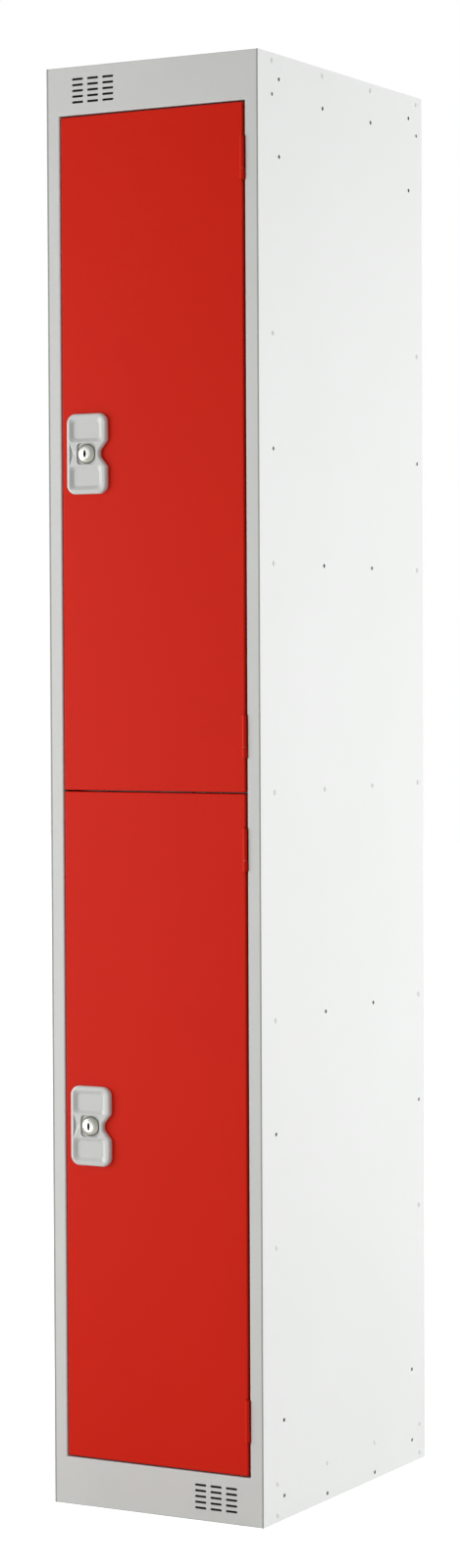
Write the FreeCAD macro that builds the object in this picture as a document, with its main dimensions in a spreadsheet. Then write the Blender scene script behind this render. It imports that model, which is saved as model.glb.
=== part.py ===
import FreeCAD
import Part
import Sketcher
import math
import os

# Two-door steel clothes locker: a riveted sheet carcass, a folded front frame, two folded doors on lift-off
# hinges, a cam lock with a moulded surround in each door, and a coat hook in each compartment.
# X runs across, Y from the front to the back, Z up. The floor is z = 0 and the front face lies at negative Y.

Vector = FreeCAD.Vector
Rotation = FreeCAD.Rotation
doc = FreeCAD.newDocument("metal_locker")

driving_sizes = [
    # carcass
    ("locker_width", 300.0, "over the side panels"),
    ("locker_depth", 450.0, "front face to back face"),
    ("locker_height", 1800.0, "floor to top"),
    ("carcass_sheet", 0.8, "sheet of sides, back, top, shelf and base"),
    ("carcass_bend", 1.6, "outer bend radius of the carcass sheets"),
    ("back_flange", 28.0, "forward flange of the back along each side"),
    ("floor_flange", 25.0, "flange of the plinth and of the back on the floor"),
    ("tray_flange", 20.0, "down flange of top, shelf and base"),
    ("tray_nose", 24.0, "front flange of shelf and base"),
    ("flange_gap", 1.0, "space between flanges that meet end to end"),
    ("deck_relief", 0.5, "corner relief of top, shelf and base beside their flanges"),
    # front frame
    ("frame_sheet", 1.2, "sheet of the front frame"),
    ("frame_bend", 1.6, "outer bend radius of the front frame"),
    ("stile_width", 18.5, "locker side to door opening"),
    ("header_height", 60.0, "locker top to door opening"),
    ("plinth_height", 60.0, "floor to door opening"),
    ("side_return", 45.0, "depth of the frame's returns along the sides"),
    ("top_return", 25.0, "depth of the header's return over the top panel"),
    ("stop_lip", 10.0, "reach of the door stops into the opening"),
    ("stop_gap", 2.8, "closed door to door stop"),
    ("vent_columns", 3, "vent slots side by side"),
    ("vent_rows", 5, "vent slots one above the other"),
    ("vent_slot_length", 16.0, "length of a vent slot"),
    ("vent_slot_height", 3.0, "height of a vent slot"),
    ("vent_column_pitch", 21.8, "across, slot to slot"),
    ("vent_row_pitch", 7.1, "up, slot to slot"),
    ("vent_inset", 67.0, "locker side to the middle of a vent"),
    # rivets and nesting holes of the sides
    ("front_column", 36.0, "front face to the front rivet column"),
    ("rear_column", 16.0, "back face to the rear rivet column"),
    ("row_spaces", 6, "rivet rows that share the door opening"),
    ("row_drop", 12.0, "rivet row below the deck that it holds"),
    ("top_row_drop", 10.0, "top rivet row below the top"),
    ("spare_row_drop", 50.0, "spare hole row below the top"),
    ("foot_row_rise", 9.0, "lowest rivet and hole row above the floor"),
    ("nest_front", 53.5, "front face to the front nesting holes"),
    ("nest_rear", 39.0, "back face to the rear nesting holes"),
    ("nest_outer", 30.0, "outer nesting holes to floor or top"),
    ("nest_inner", 124.0, "inner nesting holes to floor"),
    ("nest_inner_drop", 124.0, "inner nesting holes to top"),
    ("side_hole_diameter", 5.0, "open holes in the sides"),
    ("rivet_head_diameter", 7.0, "head of a rivet"),
    ("rivet_head_height", 1.3, "head of a rivet"),
    ("rivet_diameter", 4.0, "shank of a rivet"),
    ("rivet_clearance", 0.05, "radial, rivet in its hole"),
    ("rivet_tail_diameter", 5.6, "set end of a rivet"),
    ("rivet_tail_length", 1.8, "set end of a rivet"),
    # doors
    ("door_gap", 2.0, "above, below and on the lock side of each door"),
    ("hinge_gap", 3.2, "hinge side of each door"),
    ("door_depth", 20.0, "front of the door to its return lips"),
    ("door_sheet", 1.0, "sheet of the doors"),
    ("door_bend", 1.5, "outer bend radius of the door front"),
    ("door_corner", 1.9, "corner radius of the doors"),
    ("door_lip", 12.0, "return lips behind the door"),
    ("stiffener_offset", 10.0, "door middle to stiffener middle, towards the hinges"),
    ("stiffener_crown", 45.0, "width of the stiffener's crown"),
    ("stiffener_foot", 14.0, "width of each foot of the stiffener"),
    ("stiffener_height", 15.0, "door skin to the stiffener's crown"),
    ("stiffener_end_gap", 6.0, "stiffener end to the door's return lip"),
    ("buffer_diameter", 8.0, "rubber buffer head"),
    ("buffer_clearance", 0.3, "buffer head to the closed door"),
    ("buffer_stem_diameter", 4.0, "rubber buffer stem"),
    ("buffer_tail_diameter", 5.2, "rubber buffer behind the door stop"),
    ("buffer_tail_length", 1.4, "rubber buffer behind the door stop"),
    ("buffer_end_offset", 70.0, "door end to buffer"),
    # hinges
    ("hinge_length", 52.0, "both knuckles"),
    ("hinge_end_offset", 42.0, "door end to hinge end"),
    ("hinge_inset", 0.2, "hinge axis inside the door's edge"),
    ("hinge_proud", 0.6, "hinge axis in front of the door's face"),
    ("knuckle_diameter", 5.6, "hinge barrel"),
    ("lower_knuckle", 13.0, "length of the frame's knuckle"),
    ("knuckle_gap", 0.3, "door knuckle above frame knuckle"),
    ("hinge_pin_diameter", 3.0, "hinge pin"),
    ("pin_clearance", 0.05, "radial, pin in knuckle"),
    ("pin_end", 0.8, "knuckle end to pin end"),
    ("leaf_thickness", 1.2, "hinge leaves"),
    ("leaf_depth", 18.0, "hinge leaves behind the front face"),
    ("notch_clearance", 0.4, "hinge barrel to the notches round it"),
    ("frame_notch", 1.4, "width of the frame's notch beside each hinge"),
    # locks
    ("plate_width", 57.5, "lock plate"),
    ("plate_height", 100.0, "lock plate"),
    ("plate_inset", 8.5, "door edge to lock plate"),
    ("plate_thickness", 5.5, "rim of the lock plate"),
    ("plate_corner", 12.0, "corner radius of the lock plate"),
    ("plate_notch_depth", 10.0, "finger notch of the lock plate"),
    ("plate_notch_mouth", 32.0, "finger notch at the plate's edge"),
    ("plate_notch_apex", 8.0, "finger notch at its bottom"),
    ("plate_notch_round", 6.0, "radius of the notch's corners"),
    ("plate_edge_round", 3.0, "radius of the rim's outer edge"),
    ("plate_lip", 4.8, "left rim of the lock plate"),
    ("pocket_rim", 6.5, "right rim of the lock plate"),
    ("pocket_end", 5.6, "top and bottom rims of the lock plate"),
    ("pocket_foot", 14.8, "lock axis to the mouth of a pocket"),
    ("pocket_slope", 4.4, "mouth to floor of a pocket, measured across its wall"),
    ("pocket_depth", 3.2, "pockets of the lock plate"),
    ("pocket_corner", 8.0, "corner radius of the pockets"),
    ("pocket_floor_round", 2.4, "radius at the foot of the pocket walls"),
    ("pocket_mouth_round", 1.2, "radius at the top of the pocket walls"),
    ("hollow_mouth", 29.0, "height of the three-cornered hollow beside the left rim"),
    ("hollow_reach", 9.2, "left rim to the hollow's point"),
    ("hollow_share", 0.45, "floor of the hollow as a share of its mouth"),
    ("hollow_depth", 2.2, "three-cornered hollow"),
    ("hollow_point_round", 3.0, "radius of the hollow's point"),
    ("seat_width", 27.0, "square seat of the lock"),
    ("seat_depth", 2.2, "square seat of the lock"),
    ("seat_corner", 5.0, "corner radius of the seat"),
    ("bezel_diameter", 24.6, "lock bezel"),
    ("bezel_crown", 17.5, "front diameter of the bezel"),
    ("bezel_rim", 1.8, "straight rim of the bezel"),
    ("bezel_height", 5.2, "seat to the front of the bezel"),
    ("barrel_diameter", 19.0, "lock barrel"),
    ("barrel_clearance", 0.1, "radial, barrel in its holes"),
    ("barrel_end_gap", 0.4, "barrel end to cam"),
    ("plug_diameter", 14.0, "turning plug"),
    ("plug_clearance", 0.06, "radial, plug in barrel"),
    ("plug_proud", 0.7, "plug face in front of the bezel"),
    ("plug_edge_round", 0.5, "edge of the plug face"),
    ("key_slot_width", 3.6, "key slot"),
    ("key_slot_height", 9.4, "key slot"),
    ("key_slot_depth", 18.0, "key slot"),
    ("lock_nut_flats", 27.0, "nut of the barrel"),
    ("lock_nut_thickness", 5.0, "nut of the barrel"),
    ("cam_gap", 1.2, "door stop to cam"),
    ("cam_thickness", 2.5, "lock cam"),
    ("cam_width", 16.0, "lock cam"),
    ("cam_corner", 7.0, "corner radius of the cam"),
    ("cam_grip", 8.0, "reach of the turned cam behind the door stop"),
    ("cam_square", 8.0, "square of the plug that drives the cam"),
    ("cam_fit", 0.05, "cam on its square, each side"),
    ("stud_diameter", 6.0, "threaded end of the plug"),
    ("stud_proud", 1.5, "threaded end beyond its nut"),
    ("cam_nut_flats", 10.0, "nut of the cam"),
    ("cam_nut_thickness", 5.0, "nut of the cam"),
    # coat hooks
    ("hook_plate_length", 60.0, "across"),
    ("hook_plate_width", 18.0, "front to back"),
    ("hook_plate_thickness", 2.5, "plate of a coat hook"),
    ("hook_rivet_pitch", 44.0, "rivets of a coat hook"),
    ("hook_stem", 22.0, "plate to the start of the arms"),
    ("hook_wire", 6.0, "diameter of stem and arms"),
    ("hook_bend", 15.0, "middle radius of an arm"),
    ("hook_tip_diameter", 9.0, "ball at the end of an arm"),
]

derived_sizes = [
    ("half_width", "=sizes.locker_width / 2", "outside of a side panel"),
    ("front", "=-sizes.locker_depth / 2", "front face"),
    ("rear", "=sizes.locker_depth / 2", "back face"),
    ("inner_half", "=sizes.locker_width / 2 - sizes.carcass_sheet", "inside of a side panel"),
    ("core_half", "=inner_half - sizes.frame_sheet", "inside of the frame's side returns"),
    ("deck_half", "=min(core_half; inner_half - sizes.carcass_bend) - sizes.deck_relief", "half a tray"),
    ("opening_half", "=sizes.locker_width / 2 - sizes.stile_width", "edge of the door opening"),
    ("opening_top", "=sizes.locker_height - sizes.header_height", "top of the door opening"),
    ("roof", "=sizes.locker_height - sizes.frame_sheet", "top face of the top panel"),
    ("lip_half", "=opening_half - sizes.stop_lip", "inner edge of the door stops"),
    ("door_left", "=-opening_half + sizes.door_gap", "lock edge of a door"),
    ("door_right", "=opening_half - sizes.hinge_gap", "hinge edge of a door"),
    ("door_height", "=(opening_top - sizes.plinth_height - 3 * sizes.door_gap) / 2", "height of a door"),
    ("lower_base", "=sizes.plinth_height + sizes.door_gap", "bottom of the lower door"),
    ("upper_base", "=lower_base + door_height + sizes.door_gap", "bottom of the upper door"),
    ("shelf_row", "=lower_base + door_height + sizes.door_gap / 2", "shelf rivets, between the doors"),
    ("shelf_top", "=shelf_row + sizes.row_drop", "middle shelf"),
    ("door_back", "=front + sizes.door_depth", "back of the closed doors"),
    ("stop_front", "=door_back + sizes.stop_gap", "front of the door stops"),
    ("stop_back", "=stop_front + sizes.frame_sheet", "back of the door stops"),
    ("flange_front", "=front + sizes.side_return + sizes.flange_gap", "front end of the tray flanges"),
    ("flange_rear", "=rear - sizes.back_flange - sizes.flange_gap", "rear end of the tray flanges"),
    ("first_column", "=front + sizes.front_column", "front rivet column"),
    ("last_column", "=rear - sizes.rear_column", "rear rivet column"),
    ("column_pitch", "=(last_column - first_column) / 3", "rivet column to rivet column"),
    ("row_pitch", "=(opening_top - sizes.plinth_height) / sizes.row_spaces", "rivet row to rivet row"),
    ("base_row", "=sizes.plinth_height - sizes.row_drop", "rivet row of the base"),
    ("hinge_x", "=door_right - sizes.hinge_inset", "hinge axis"),
    ("hinge_y", "=front - sizes.hinge_proud", "hinge axis"),
    ("barrel_clear", "=hinge_y + sizes.knuckle_diameter / 2 + sizes.notch_clearance", "back of the notches"),
    ("lock_x", "=door_left + sizes.plate_inset + sizes.plate_width / 2", "lock axis"),
    ("seat_level", "=sizes.plate_thickness - sizes.seat_depth", "lock seat in front of the door"),
    ("bezel_front", "=seat_level + sizes.bezel_height", "bezel front in front of the door"),
    ("plug_front", "=bezel_front + sizes.plug_proud", "plug face in front of the door"),
    ("cam_front", "=stop_back - front + sizes.cam_gap", "cam behind the door's face"),
    ("cam_back", "=cam_front + sizes.cam_thickness", "back of the cam behind the door's face"),
    ("cam_reach", "=lock_x + lip_half + sizes.cam_grip", "lock axis to the cam's tip"),
    ("buffer_x", "=-opening_half + sizes.stop_lip / 2", "buffers on the left door stop"),
    ("buffer_height", "=sizes.stop_gap - sizes.buffer_clearance", "buffer head"),
    ("rivet_hole", "=sizes.rivet_diameter / 2 + sizes.rivet_clearance", "radius of a rivet hole"),
    ("stem_hole", "=sizes.buffer_stem_diameter / 2 + sizes.rivet_clearance", "radius of a buffer hole"),
]


def fill_sheet(name, rows):
    sheet = doc.addObject("Spreadsheet::Sheet", name)
    for number, (alias, content, note) in enumerate(rows, 1):
        sheet.set(f"A{number}", note)
        sheet.set(f"B{number}", str(content))
        sheet.setAlias(f"B{number}", alias)
    return sheet


sizes = fill_sheet("sizes", driving_sizes)
layout = fill_sheet("layout", derived_sizes)
doc.recompute()

pieces = []
touching = 1e-4


def value(formula):
    return float(sizes.evalExpression(formula))


def new_body(label, base=None):
    body = doc.addObject("PartDesign::Body", label)
    body.Label = label
    if base is not None:
        for axis, formula in zip("xyz", base):
            body.setExpression(f"Placement.Base.{axis}", formula)
    pieces.append(body)
    return body


def new_sketch(body, plane, level):
    name = f"{body.Name}_sketch_{len(body.Group)}"
    sketch = body.newObject("Sketcher::SketchObject", name)
    support = next(feature for feature in body.Origin.OriginFeatures if feature.Role == plane)
    sketch.AttachmentSupport = [(support, "")]
    sketch.MapMode = "FlatFace"
    sketch.setExpression("AttachmentOffset.Base.z", level)
    return sketch


def constrain(sketch, plain, bound):
    start = sketch.ConstraintCount
    driven = [Sketcher.Constraint(kind, *where, value(formula)) for kind, where, formula in bound]
    sketch.addConstraint(plain + driven)
    for number, (kind, where, formula) in enumerate(bound, start + len(plain)):
        sketch.setExpression(f"Constraints[{number}]", formula)


def draw_polygon(sketch, corners):
    first = sketch.GeometryCount
    count = len(corners)
    points = [Vector(value(across), value(along), 0) for across, along in corners]
    sketch.addGeometry([Part.LineSegment(points[k], points[(k + 1) % count]) for k in range(count)], False)
    plain = [
        Sketcher.Constraint("Coincident", first + k, 2, first + (k + 1) % count, 1)
        for k in range(count)
    ]
    bound = []
    for k, (across, along) in enumerate(corners):
        bound.append(("DistanceX", (first + k, 1), across))
        bound.append(("DistanceY", (first + k, 1), along))
    constrain(sketch, plain, bound)


def draw_circles(sketch, circles):
    first = sketch.GeometryCount
    rounds = []
    bound = []
    for k, (across, along, radius) in enumerate(circles):
        rounds.append(Part.Circle(Vector(value(across), value(along), 0), Vector(0, 0, 1), value(radius)))
        bound.append(("DistanceX", (first + k, 3), across))
        bound.append(("DistanceY", (first + k, 3), along))
        bound.append(("Radius", (first + k,), radius))
    sketch.addGeometry(rounds, False)
    constrain(sketch, [], bound)


def draw_slot(sketch, across, along, length, height):
    first = sketch.GeometryCount
    left, right = f"{across} - ({length} - {height}) / 2", f"{across} + ({length} - {height}) / 2"
    low, high = f"{along} - {height} / 2", f"{along} + {height} / 2"
    corners = [(left, high), (right, high), (right, low), (left, low)]
    points = [Vector(value(x), value(y), 0) for x, y in corners]
    radius = value(f"{height} / 2")
    up, turn = Vector(0, 0, 1), math.pi / 2
    round_right = Part.Circle(Vector(points[1].x, value(along), 0), up, radius)
    round_left = Part.Circle(Vector(points[0].x, value(along), 0), up, radius)
    sketch.addGeometry([
        Part.LineSegment(points[0], points[1]),
        Part.ArcOfCircle(round_right, -turn, turn),
        Part.LineSegment(points[2], points[3]),
        Part.ArcOfCircle(round_left, turn, 3 * turn),
    ], False)
    top, end, bottom, start = range(first, first + 4)
    plain = [
        Sketcher.Constraint("Coincident", top, 2, end, 2),
        Sketcher.Constraint("Coincident", end, 1, bottom, 1),
        Sketcher.Constraint("Coincident", bottom, 2, start, 2),
        Sketcher.Constraint("Coincident", start, 1, top, 1),
    ]
    bound = []
    for (x, y), where in zip(corners, [(top, 1), (top, 2), (bottom, 1), (bottom, 2)]):
        bound.append(("DistanceX", where, x))
        bound.append(("DistanceY", where, y))
    bound.append(("DistanceX", (end, 3), right))
    bound.append(("DistanceX", (start, 3), left))
    constrain(sketch, plain, bound)


def box_outline(left, right, low, high):
    return [(left, low), (right, low), (right, high), (left, high)]


def finish_feature(body, feature):
    body.Tip = feature
    doc.recompute()
    if "Invalid" in feature.State or feature.Shape.isNull() or not feature.Shape.isValid():
        raise ValueError(f"{feature.Name} did not build: {feature.getStatusString()}")
    return feature


def add_pad(body, plane, level, length, polygons=(), circles=(), reverse=False):
    sketch = new_sketch(body, plane, level)
    for corners in polygons:
        draw_polygon(sketch, corners)
    if circles:
        draw_circles(sketch, circles)
    pad = body.newObject("PartDesign::Pad", f"{body.Name}_pad_{len(body.Group)}")
    pad.Profile = sketch
    pad.Reversed = reverse
    pad.setExpression("Length", length)
    return finish_feature(body, pad)


def add_pocket(body, plane, level, polygons=(), circles=(), depth=None, reverse=False):
    before = body.Tip.Shape.Volume
    sketch = new_sketch(body, plane, level)
    for corners in polygons:
        draw_polygon(sketch, corners)
    if circles:
        draw_circles(sketch, circles)
    pocket = body.newObject("PartDesign::Pocket", f"{body.Name}_pocket_{len(body.Group)}")
    pocket.Profile = sketch
    pocket.Reversed = reverse
    if depth is None:
        pocket.Type = "ThroughAll"
        pocket.SideType = "Symmetric"
    else:
        pocket.setExpression("Length", depth)
    finish_feature(body, pocket)
    if not pocket.Shape.Volume < before:
        raise ValueError(f"{pocket.Name} removes nothing")
    return pocket


def add_fillet(body, edges, radius):
    solid = body.Tip
    fillet = body.newObject("PartDesign::Fillet", f"{body.Name}_fillet_{len(body.Group)}")
    fillet.Base = (solid, edges)
    fillet.setExpression("Radius", radius)
    return finish_feature(body, fillet)


def add_hollow(body, mouth, floor):
    # A recess with sloping walls. Mouth and floor are each a level in front of the XZ plane and an outline.
    before = body.Tip.Shape.Volume
    sections = []
    for level, corners in (mouth, floor):
        section = new_sketch(body, "XZ_Plane", level)
        draw_polygon(section, corners)
        sections.append(section)
    hollow = body.newObject("PartDesign::SubtractiveLoft", f"{body.Name}_hollow_{len(body.Group)}")
    hollow.Profile = sections[0]
    hollow.Sections = sections[1:]
    hollow.Ruled = True
    finish_feature(body, hollow)
    if not hollow.Shape.Volume < before:
        raise ValueError(f"{hollow.Name} removes nothing")
    return hollow


def add_revolution(body, corners):
    sketch = new_sketch(body, "XY_Plane", "0")
    draw_polygon(sketch, corners)
    turned = body.newObject("PartDesign::Revolution", f"{body.Name}_turned_{len(body.Group)}")
    turned.Profile = sketch
    turned.ReferenceAxis = (sketch, ["V_Axis"])
    turned.Angle = 360.0
    return finish_feature(body, turned)


def straight_edges(body, axis, places):
    others = [k for k in range(3) if k != axis]
    spots = [(value(first), value(second)) for first, second in places]
    names = []
    for number, edge in enumerate(body.Tip.Shape.Edges, 1):
        ends = [vertex.Point for vertex in edge.Vertexes]
        if len(ends) != 2 or any(abs(ends[1][k] - ends[0][k]) > touching for k in others):
            continue
        here = (ends[0][others[0]], ends[0][others[1]])
        if any(math.dist(here, spot) < touching for spot in spots):
            names.append(f"Edge{number}")
    return names


def wall_edges(body, mouth, floor):
    # Edges that run down the walls of a recess, from the corners of its mouth to those of its floor.
    tops, feet = [
        [Vector(value(x), -value(level), value(z)) for x, z in corners]
        for level, corners in (mouth, floor)
    ]
    names = []
    for number, edge in enumerate(body.Tip.Shape.Edges, 1):
        ends = sorted((vertex.Point for vertex in edge.Vertexes), key=lambda point: point.y)
        if len(ends) != 2:
            continue
        for top, foot in zip(tops, feet):
            if ends[0].isEqual(top, touching) and ends[1].isEqual(foot, touching):
                names.append(f"Edge{number}")
    return names


def brim_edges(body, level):
    # Edges at a level in front of the XZ plane, on the walls that rise to it from that plane.
    solid = body.Tip.Shape
    walls = [face for face in solid.Faces if abs(face.BoundBox.YMax) < touching < face.BoundBox.YLength]
    names = []
    for number, edge in enumerate(solid.Edges, 1):
        box = edge.BoundBox
        if max(abs(box.YMin + value(level)), abs(box.YMax + value(level))) > touching:
            continue
        if any(edge.isSame(other) for wall in walls for other in wall.Edges):
            names.append(f"Edge{number}")
    return names


def level_edges(body, axis, level, half_across, half_along):
    others = [k for k in range(3) if k != axis]
    here = value(level)
    reach = (value(half_across[0]), value(half_across[1]), value(half_along[0]), value(half_along[1]))
    names = []
    for number, edge in enumerate(body.Tip.Shape.Edges, 1):
        box = edge.BoundBox
        low = (box.XMin, box.YMin, box.ZMin)
        high = (box.XMax, box.YMax, box.ZMax)
        if abs(low[axis] - here) > touching or abs(high[axis] - here) > touching:
            continue
        if low[others[0]] < reach[0] - touching or high[others[0]] > reach[1] + touching:
            continue
        if low[others[1]] < reach[2] - touching or high[others[1]] > reach[3] + touching:
            continue
        names.append(f"Edge{number}")
    return names


def columns():
    return [f"layout.first_column + {k} * layout.column_pitch" for k in range(4)]


def row(count):
    return f"sizes.plinth_height + {count} * layout.row_pitch"


front_column, second_column, third_column, rear_column = columns()
row_count = int(value("sizes.row_spaces"))
top_row = "sizes.locker_height - sizes.top_row_drop"
spare_row = "sizes.locker_height - sizes.spare_row_drop"
foot_row = "sizes.foot_row_rise"
upright_rows = [row(k) for k in range(1, row_count)]
half_rows = [row(1.5), row(row_count - 1.5)]
hole_radius = "sizes.side_hole_diameter / 2"
shelf_row = "layout.shelf_row"
base_row = "layout.base_row"

# Rivets, as depth and height on the side, by what they hold behind the side panel.
frame_rivets = [(front_column, z) for z in [top_row, base_row, foot_row] + upright_rows]
back_rivets = [(rear_column, z) for z in [top_row, base_row, foot_row] + upright_rows]
tray_rivets = [(y, z) for y in (second_column, third_column) for z in (top_row, shelf_row, base_row)]
# Open holes: nesting holes at the corners and spare holes for other shelf arrangements.
nest_columns = ["layout.front + sizes.nest_front", "layout.rear - sizes.nest_rear"]
nest_rows = [
    "sizes.nest_outer",
    "sizes.nest_inner",
    "sizes.locker_height - sizes.nest_inner_drop",
    "sizes.locker_height - sizes.nest_outer",
]
nest_holes = [(y, z) for y in nest_columns for z in nest_rows]
frame_holes = [(front_column, z) for z in [spare_row] + half_rows]
back_holes = [(rear_column, z) for z in [spare_row] + half_rows]
tray_holes = [
    (y, z)
    for y in (second_column, third_column)
    for z in (spare_row, row(2), row(row_count - 2), foot_row)
]


def with_radius(places, radius):
    return [(across, along, radius) for across, along in places]


def between(places, low, high):
    return [place for place in places if value(low) < value(place[1]) < value(high)]


def make_side_panel(label, inner_face):
    body = new_body(label)
    outline = box_outline("layout.front", "layout.rear", "0", "sizes.locker_height")
    holes = with_radius(frame_rivets + back_rivets + tray_rivets, "layout.rivet_hole")
    holes += with_radius(nest_holes + frame_holes + back_holes + tray_holes, hole_radius)
    add_pad(body, "YZ_Plane", inner_face, "sizes.carcass_sheet", [outline], holes)


def make_back_panel():
    body = new_body("back_panel")
    wall, sheet = "layout.inner_half", "sizes.carcass_sheet"
    start = "layout.rear - sizes.back_flange"
    profile = [
        (f"-{wall}", start),
        (f"-{wall}", "layout.rear"),
        (wall, "layout.rear"),
        (wall, start),
        (f"{wall} - {sheet}", start),
        (f"{wall} - {sheet}", f"layout.rear - {sheet}"),
        (f"-{wall} + {sheet}", f"layout.rear - {sheet}"),
        (f"-{wall} + {sheet}", start),
    ]
    add_pad(body, "XY_Plane", "0", "sizes.locker_height", [profile])
    add_fillet(body, straight_edges(body, 2, [profile[1], profile[2]]), "sizes.carcass_bend")
    add_fillet(body, straight_edges(body, 2, [profile[5], profile[6]]), f"sizes.carcass_bend - {sheet}")
    foot = box_outline(
        f"-{wall} + {sheet}",
        f"{wall} - {sheet}",
        "layout.rear - sizes.floor_flange",
        f"layout.rear - {sheet}",
    )
    add_pad(body, "XY_Plane", "0", sheet, [foot])
    holes = with_radius(back_rivets, "layout.rivet_hole") + with_radius(back_holes, hole_radius)
    add_pocket(body, "YZ_Plane", "0", circles=holes)


def make_tray(label, top, front_edge, nose, hook_place):
    body = new_body(label)
    sheet = "sizes.carcass_sheet"
    under = f"{top} - {sheet}"
    deck = [
        (f"layout.rear - {sheet}", under),
        (f"layout.rear - {sheet}", top),
        (front_edge, top),
        (front_edge, f"{top} - sizes.tray_nose" if nose else under),
    ]
    if nose:
        deck += [(f"{front_edge} + {sheet}", f"{top} - sizes.tray_nose"), (f"{front_edge} + {sheet}", under)]
    add_pad(body, "YZ_Plane", "-layout.deck_half", "2 * layout.deck_half", [deck])
    if nose:
        add_fillet(body, straight_edges(body, 0, [deck[2]]), "sizes.carcass_bend")
        add_fillet(body, straight_edges(body, 0, [deck[5]]), f"sizes.carcass_bend - {sheet}")
    wall = "layout.inner_half"
    foot = f"{top} - sizes.tray_flange"
    channel = [
        (f"-{wall}", foot),
        (f"-{wall}", top),
        (wall, top),
        (wall, foot),
        (f"{wall} - {sheet}", foot),
        (f"{wall} - {sheet}", under),
        (f"-{wall} + {sheet}", under),
        (f"-{wall} + {sheet}", foot),
    ]
    add_pad(body, "XZ_Plane", "-layout.flange_rear", "layout.flange_rear - layout.flange_front", [channel])
    add_fillet(body, straight_edges(body, 1, [channel[1], channel[2]]), "sizes.carcass_bend")
    add_fillet(body, straight_edges(body, 1, [channel[5], channel[6]]), f"sizes.carcass_bend - {sheet}")
    row_here = between(tray_rivets, foot, top)
    add_pocket(body, "YZ_Plane", "0", circles=with_radius(row_here, "layout.rivet_hole"))
    if hook_place:
        drilled = with_radius(hook_place, "layout.rivet_hole")
        add_pocket(body, "XY_Plane", top, circles=drilled, depth=f"2 * {sheet}")
    return body


def make_upright(label, side):
    body = new_body(label)
    fold = "sizes.frame_sheet"
    shape = [
        ("layout.inner_half", "layout.front + sizes.side_return"),
        ("layout.inner_half", "layout.front"),
        ("layout.opening_half", "layout.front"),
        ("layout.opening_half", "layout.stop_front"),
        ("layout.lip_half", "layout.stop_front"),
        ("layout.lip_half", "layout.stop_back"),
        (f"layout.opening_half + {fold}", "layout.stop_back"),
        (f"layout.opening_half + {fold}", f"layout.front + {fold}"),
        (f"layout.inner_half - {fold}", f"layout.front + {fold}"),
        (f"layout.inner_half - {fold}", "layout.front + sizes.side_return"),
    ]
    profile = [(f"{side} * ({x})", y) for x, y in shape]
    add_pad(body, "XY_Plane", "sizes.plinth_height", "layout.opening_top - sizes.plinth_height", [profile])
    add_fillet(body, straight_edges(body, 2, [profile[k] for k in (1, 2, 6)]), "sizes.frame_bend")
    add_fillet(body, straight_edges(body, 2, [profile[k] for k in (3, 7, 8)]), f"sizes.frame_bend - {fold}")
    face = f"{side} * layout.inner_half"
    low, high = "sizes.plinth_height", "layout.opening_top"
    holes = with_radius(between(frame_rivets, low, high), "layout.rivet_hole")
    holes += with_radius(between(frame_holes, low, high), hole_radius)
    add_pocket(body, "YZ_Plane", face, circles=holes, depth=f"2 * {fold}", reverse=side < 0)
    return body


def hinge_bases():
    lift = "sizes.hinge_end_offset"
    drop = "layout.door_height - sizes.hinge_end_offset - sizes.hinge_length"
    return {
        "upper_door_top": f"layout.upper_base + {drop}",
        "upper_door_bottom": f"layout.upper_base + {lift}",
        "lower_door_top": f"layout.lower_base + {drop}",
        "lower_door_bottom": f"layout.lower_base + {lift}",
    }


def notch_outline(left, right, base):
    low = f"{base} - sizes.notch_clearance"
    return box_outline(left, right, low, f"{base} + sizes.hinge_length + sizes.notch_clearance")


def notch_frame(body):
    edge = "layout.opening_half"
    notches = [
        notch_outline("layout.door_right", f"{edge} + sizes.frame_notch", base)
        for base in hinge_bases().values()
    ]
    depth = "layout.barrel_clear - layout.front"
    add_pocket(body, "XZ_Plane", "-layout.front", polygons=notches, depth=depth)


def buffer_bases():
    spots = {}
    for door, base in (("upper_door", "layout.upper_base"), ("lower_door", "layout.lower_base")):
        top = f"{base} + layout.door_height - sizes.buffer_end_offset"
        spots[door] = [f"{base} + sizes.buffer_end_offset", top]
    return spots


def hole_buffers(body):
    heights = [z for pair in buffer_bases().values() for z in pair]
    spots = [("layout.buffer_x", z, "layout.stem_hole") for z in heights]
    add_pocket(body, "XZ_Plane", "-layout.stop_front", circles=spots, depth="2 * sizes.frame_sheet")


even_gap = -1.0  # marks a gap in a pattern that takes the pattern's own offset


def cut_vent(body, middle_x, middle_z):
    sketch = new_sketch(body, "XZ_Plane", "-layout.front")
    first_x = f"{middle_x} - (sizes.vent_columns - 1) / 2 * sizes.vent_column_pitch"
    first_z = f"{middle_z} - (sizes.vent_rows - 1) / 2 * sizes.vent_row_pitch"
    draw_slot(sketch, first_x, first_z, "sizes.vent_slot_length", "sizes.vent_slot_height")
    slot = body.newObject("PartDesign::Pocket", f"{body.Name}_vent_slot")
    slot.Profile = sketch
    slot.setExpression("Length", "2 * sizes.frame_sheet")
    finish_feature(body, slot)
    grid = body.newObject("PartDesign::LinearPattern", f"{body.Name}_vent_grid")
    grid.Originals = [slot]
    grid.Direction = (sketch, ["H_Axis"])
    grid.Mode = "Spacing"
    grid.setExpression("Offset", "sizes.vent_column_pitch")
    grid.setExpression("Occurrences", "sizes.vent_columns")
    grid.Direction2 = (sketch, ["V_Axis"])
    grid.Mode2 = "Spacing"
    grid.setExpression("Offset2", "sizes.vent_row_pitch")
    grid.setExpression("Occurrences2", "sizes.vent_rows")
    doc.recompute()
    grid.Spacings2 = [even_gap] * len(grid.Spacings2)
    finish_feature(body, grid)


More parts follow.
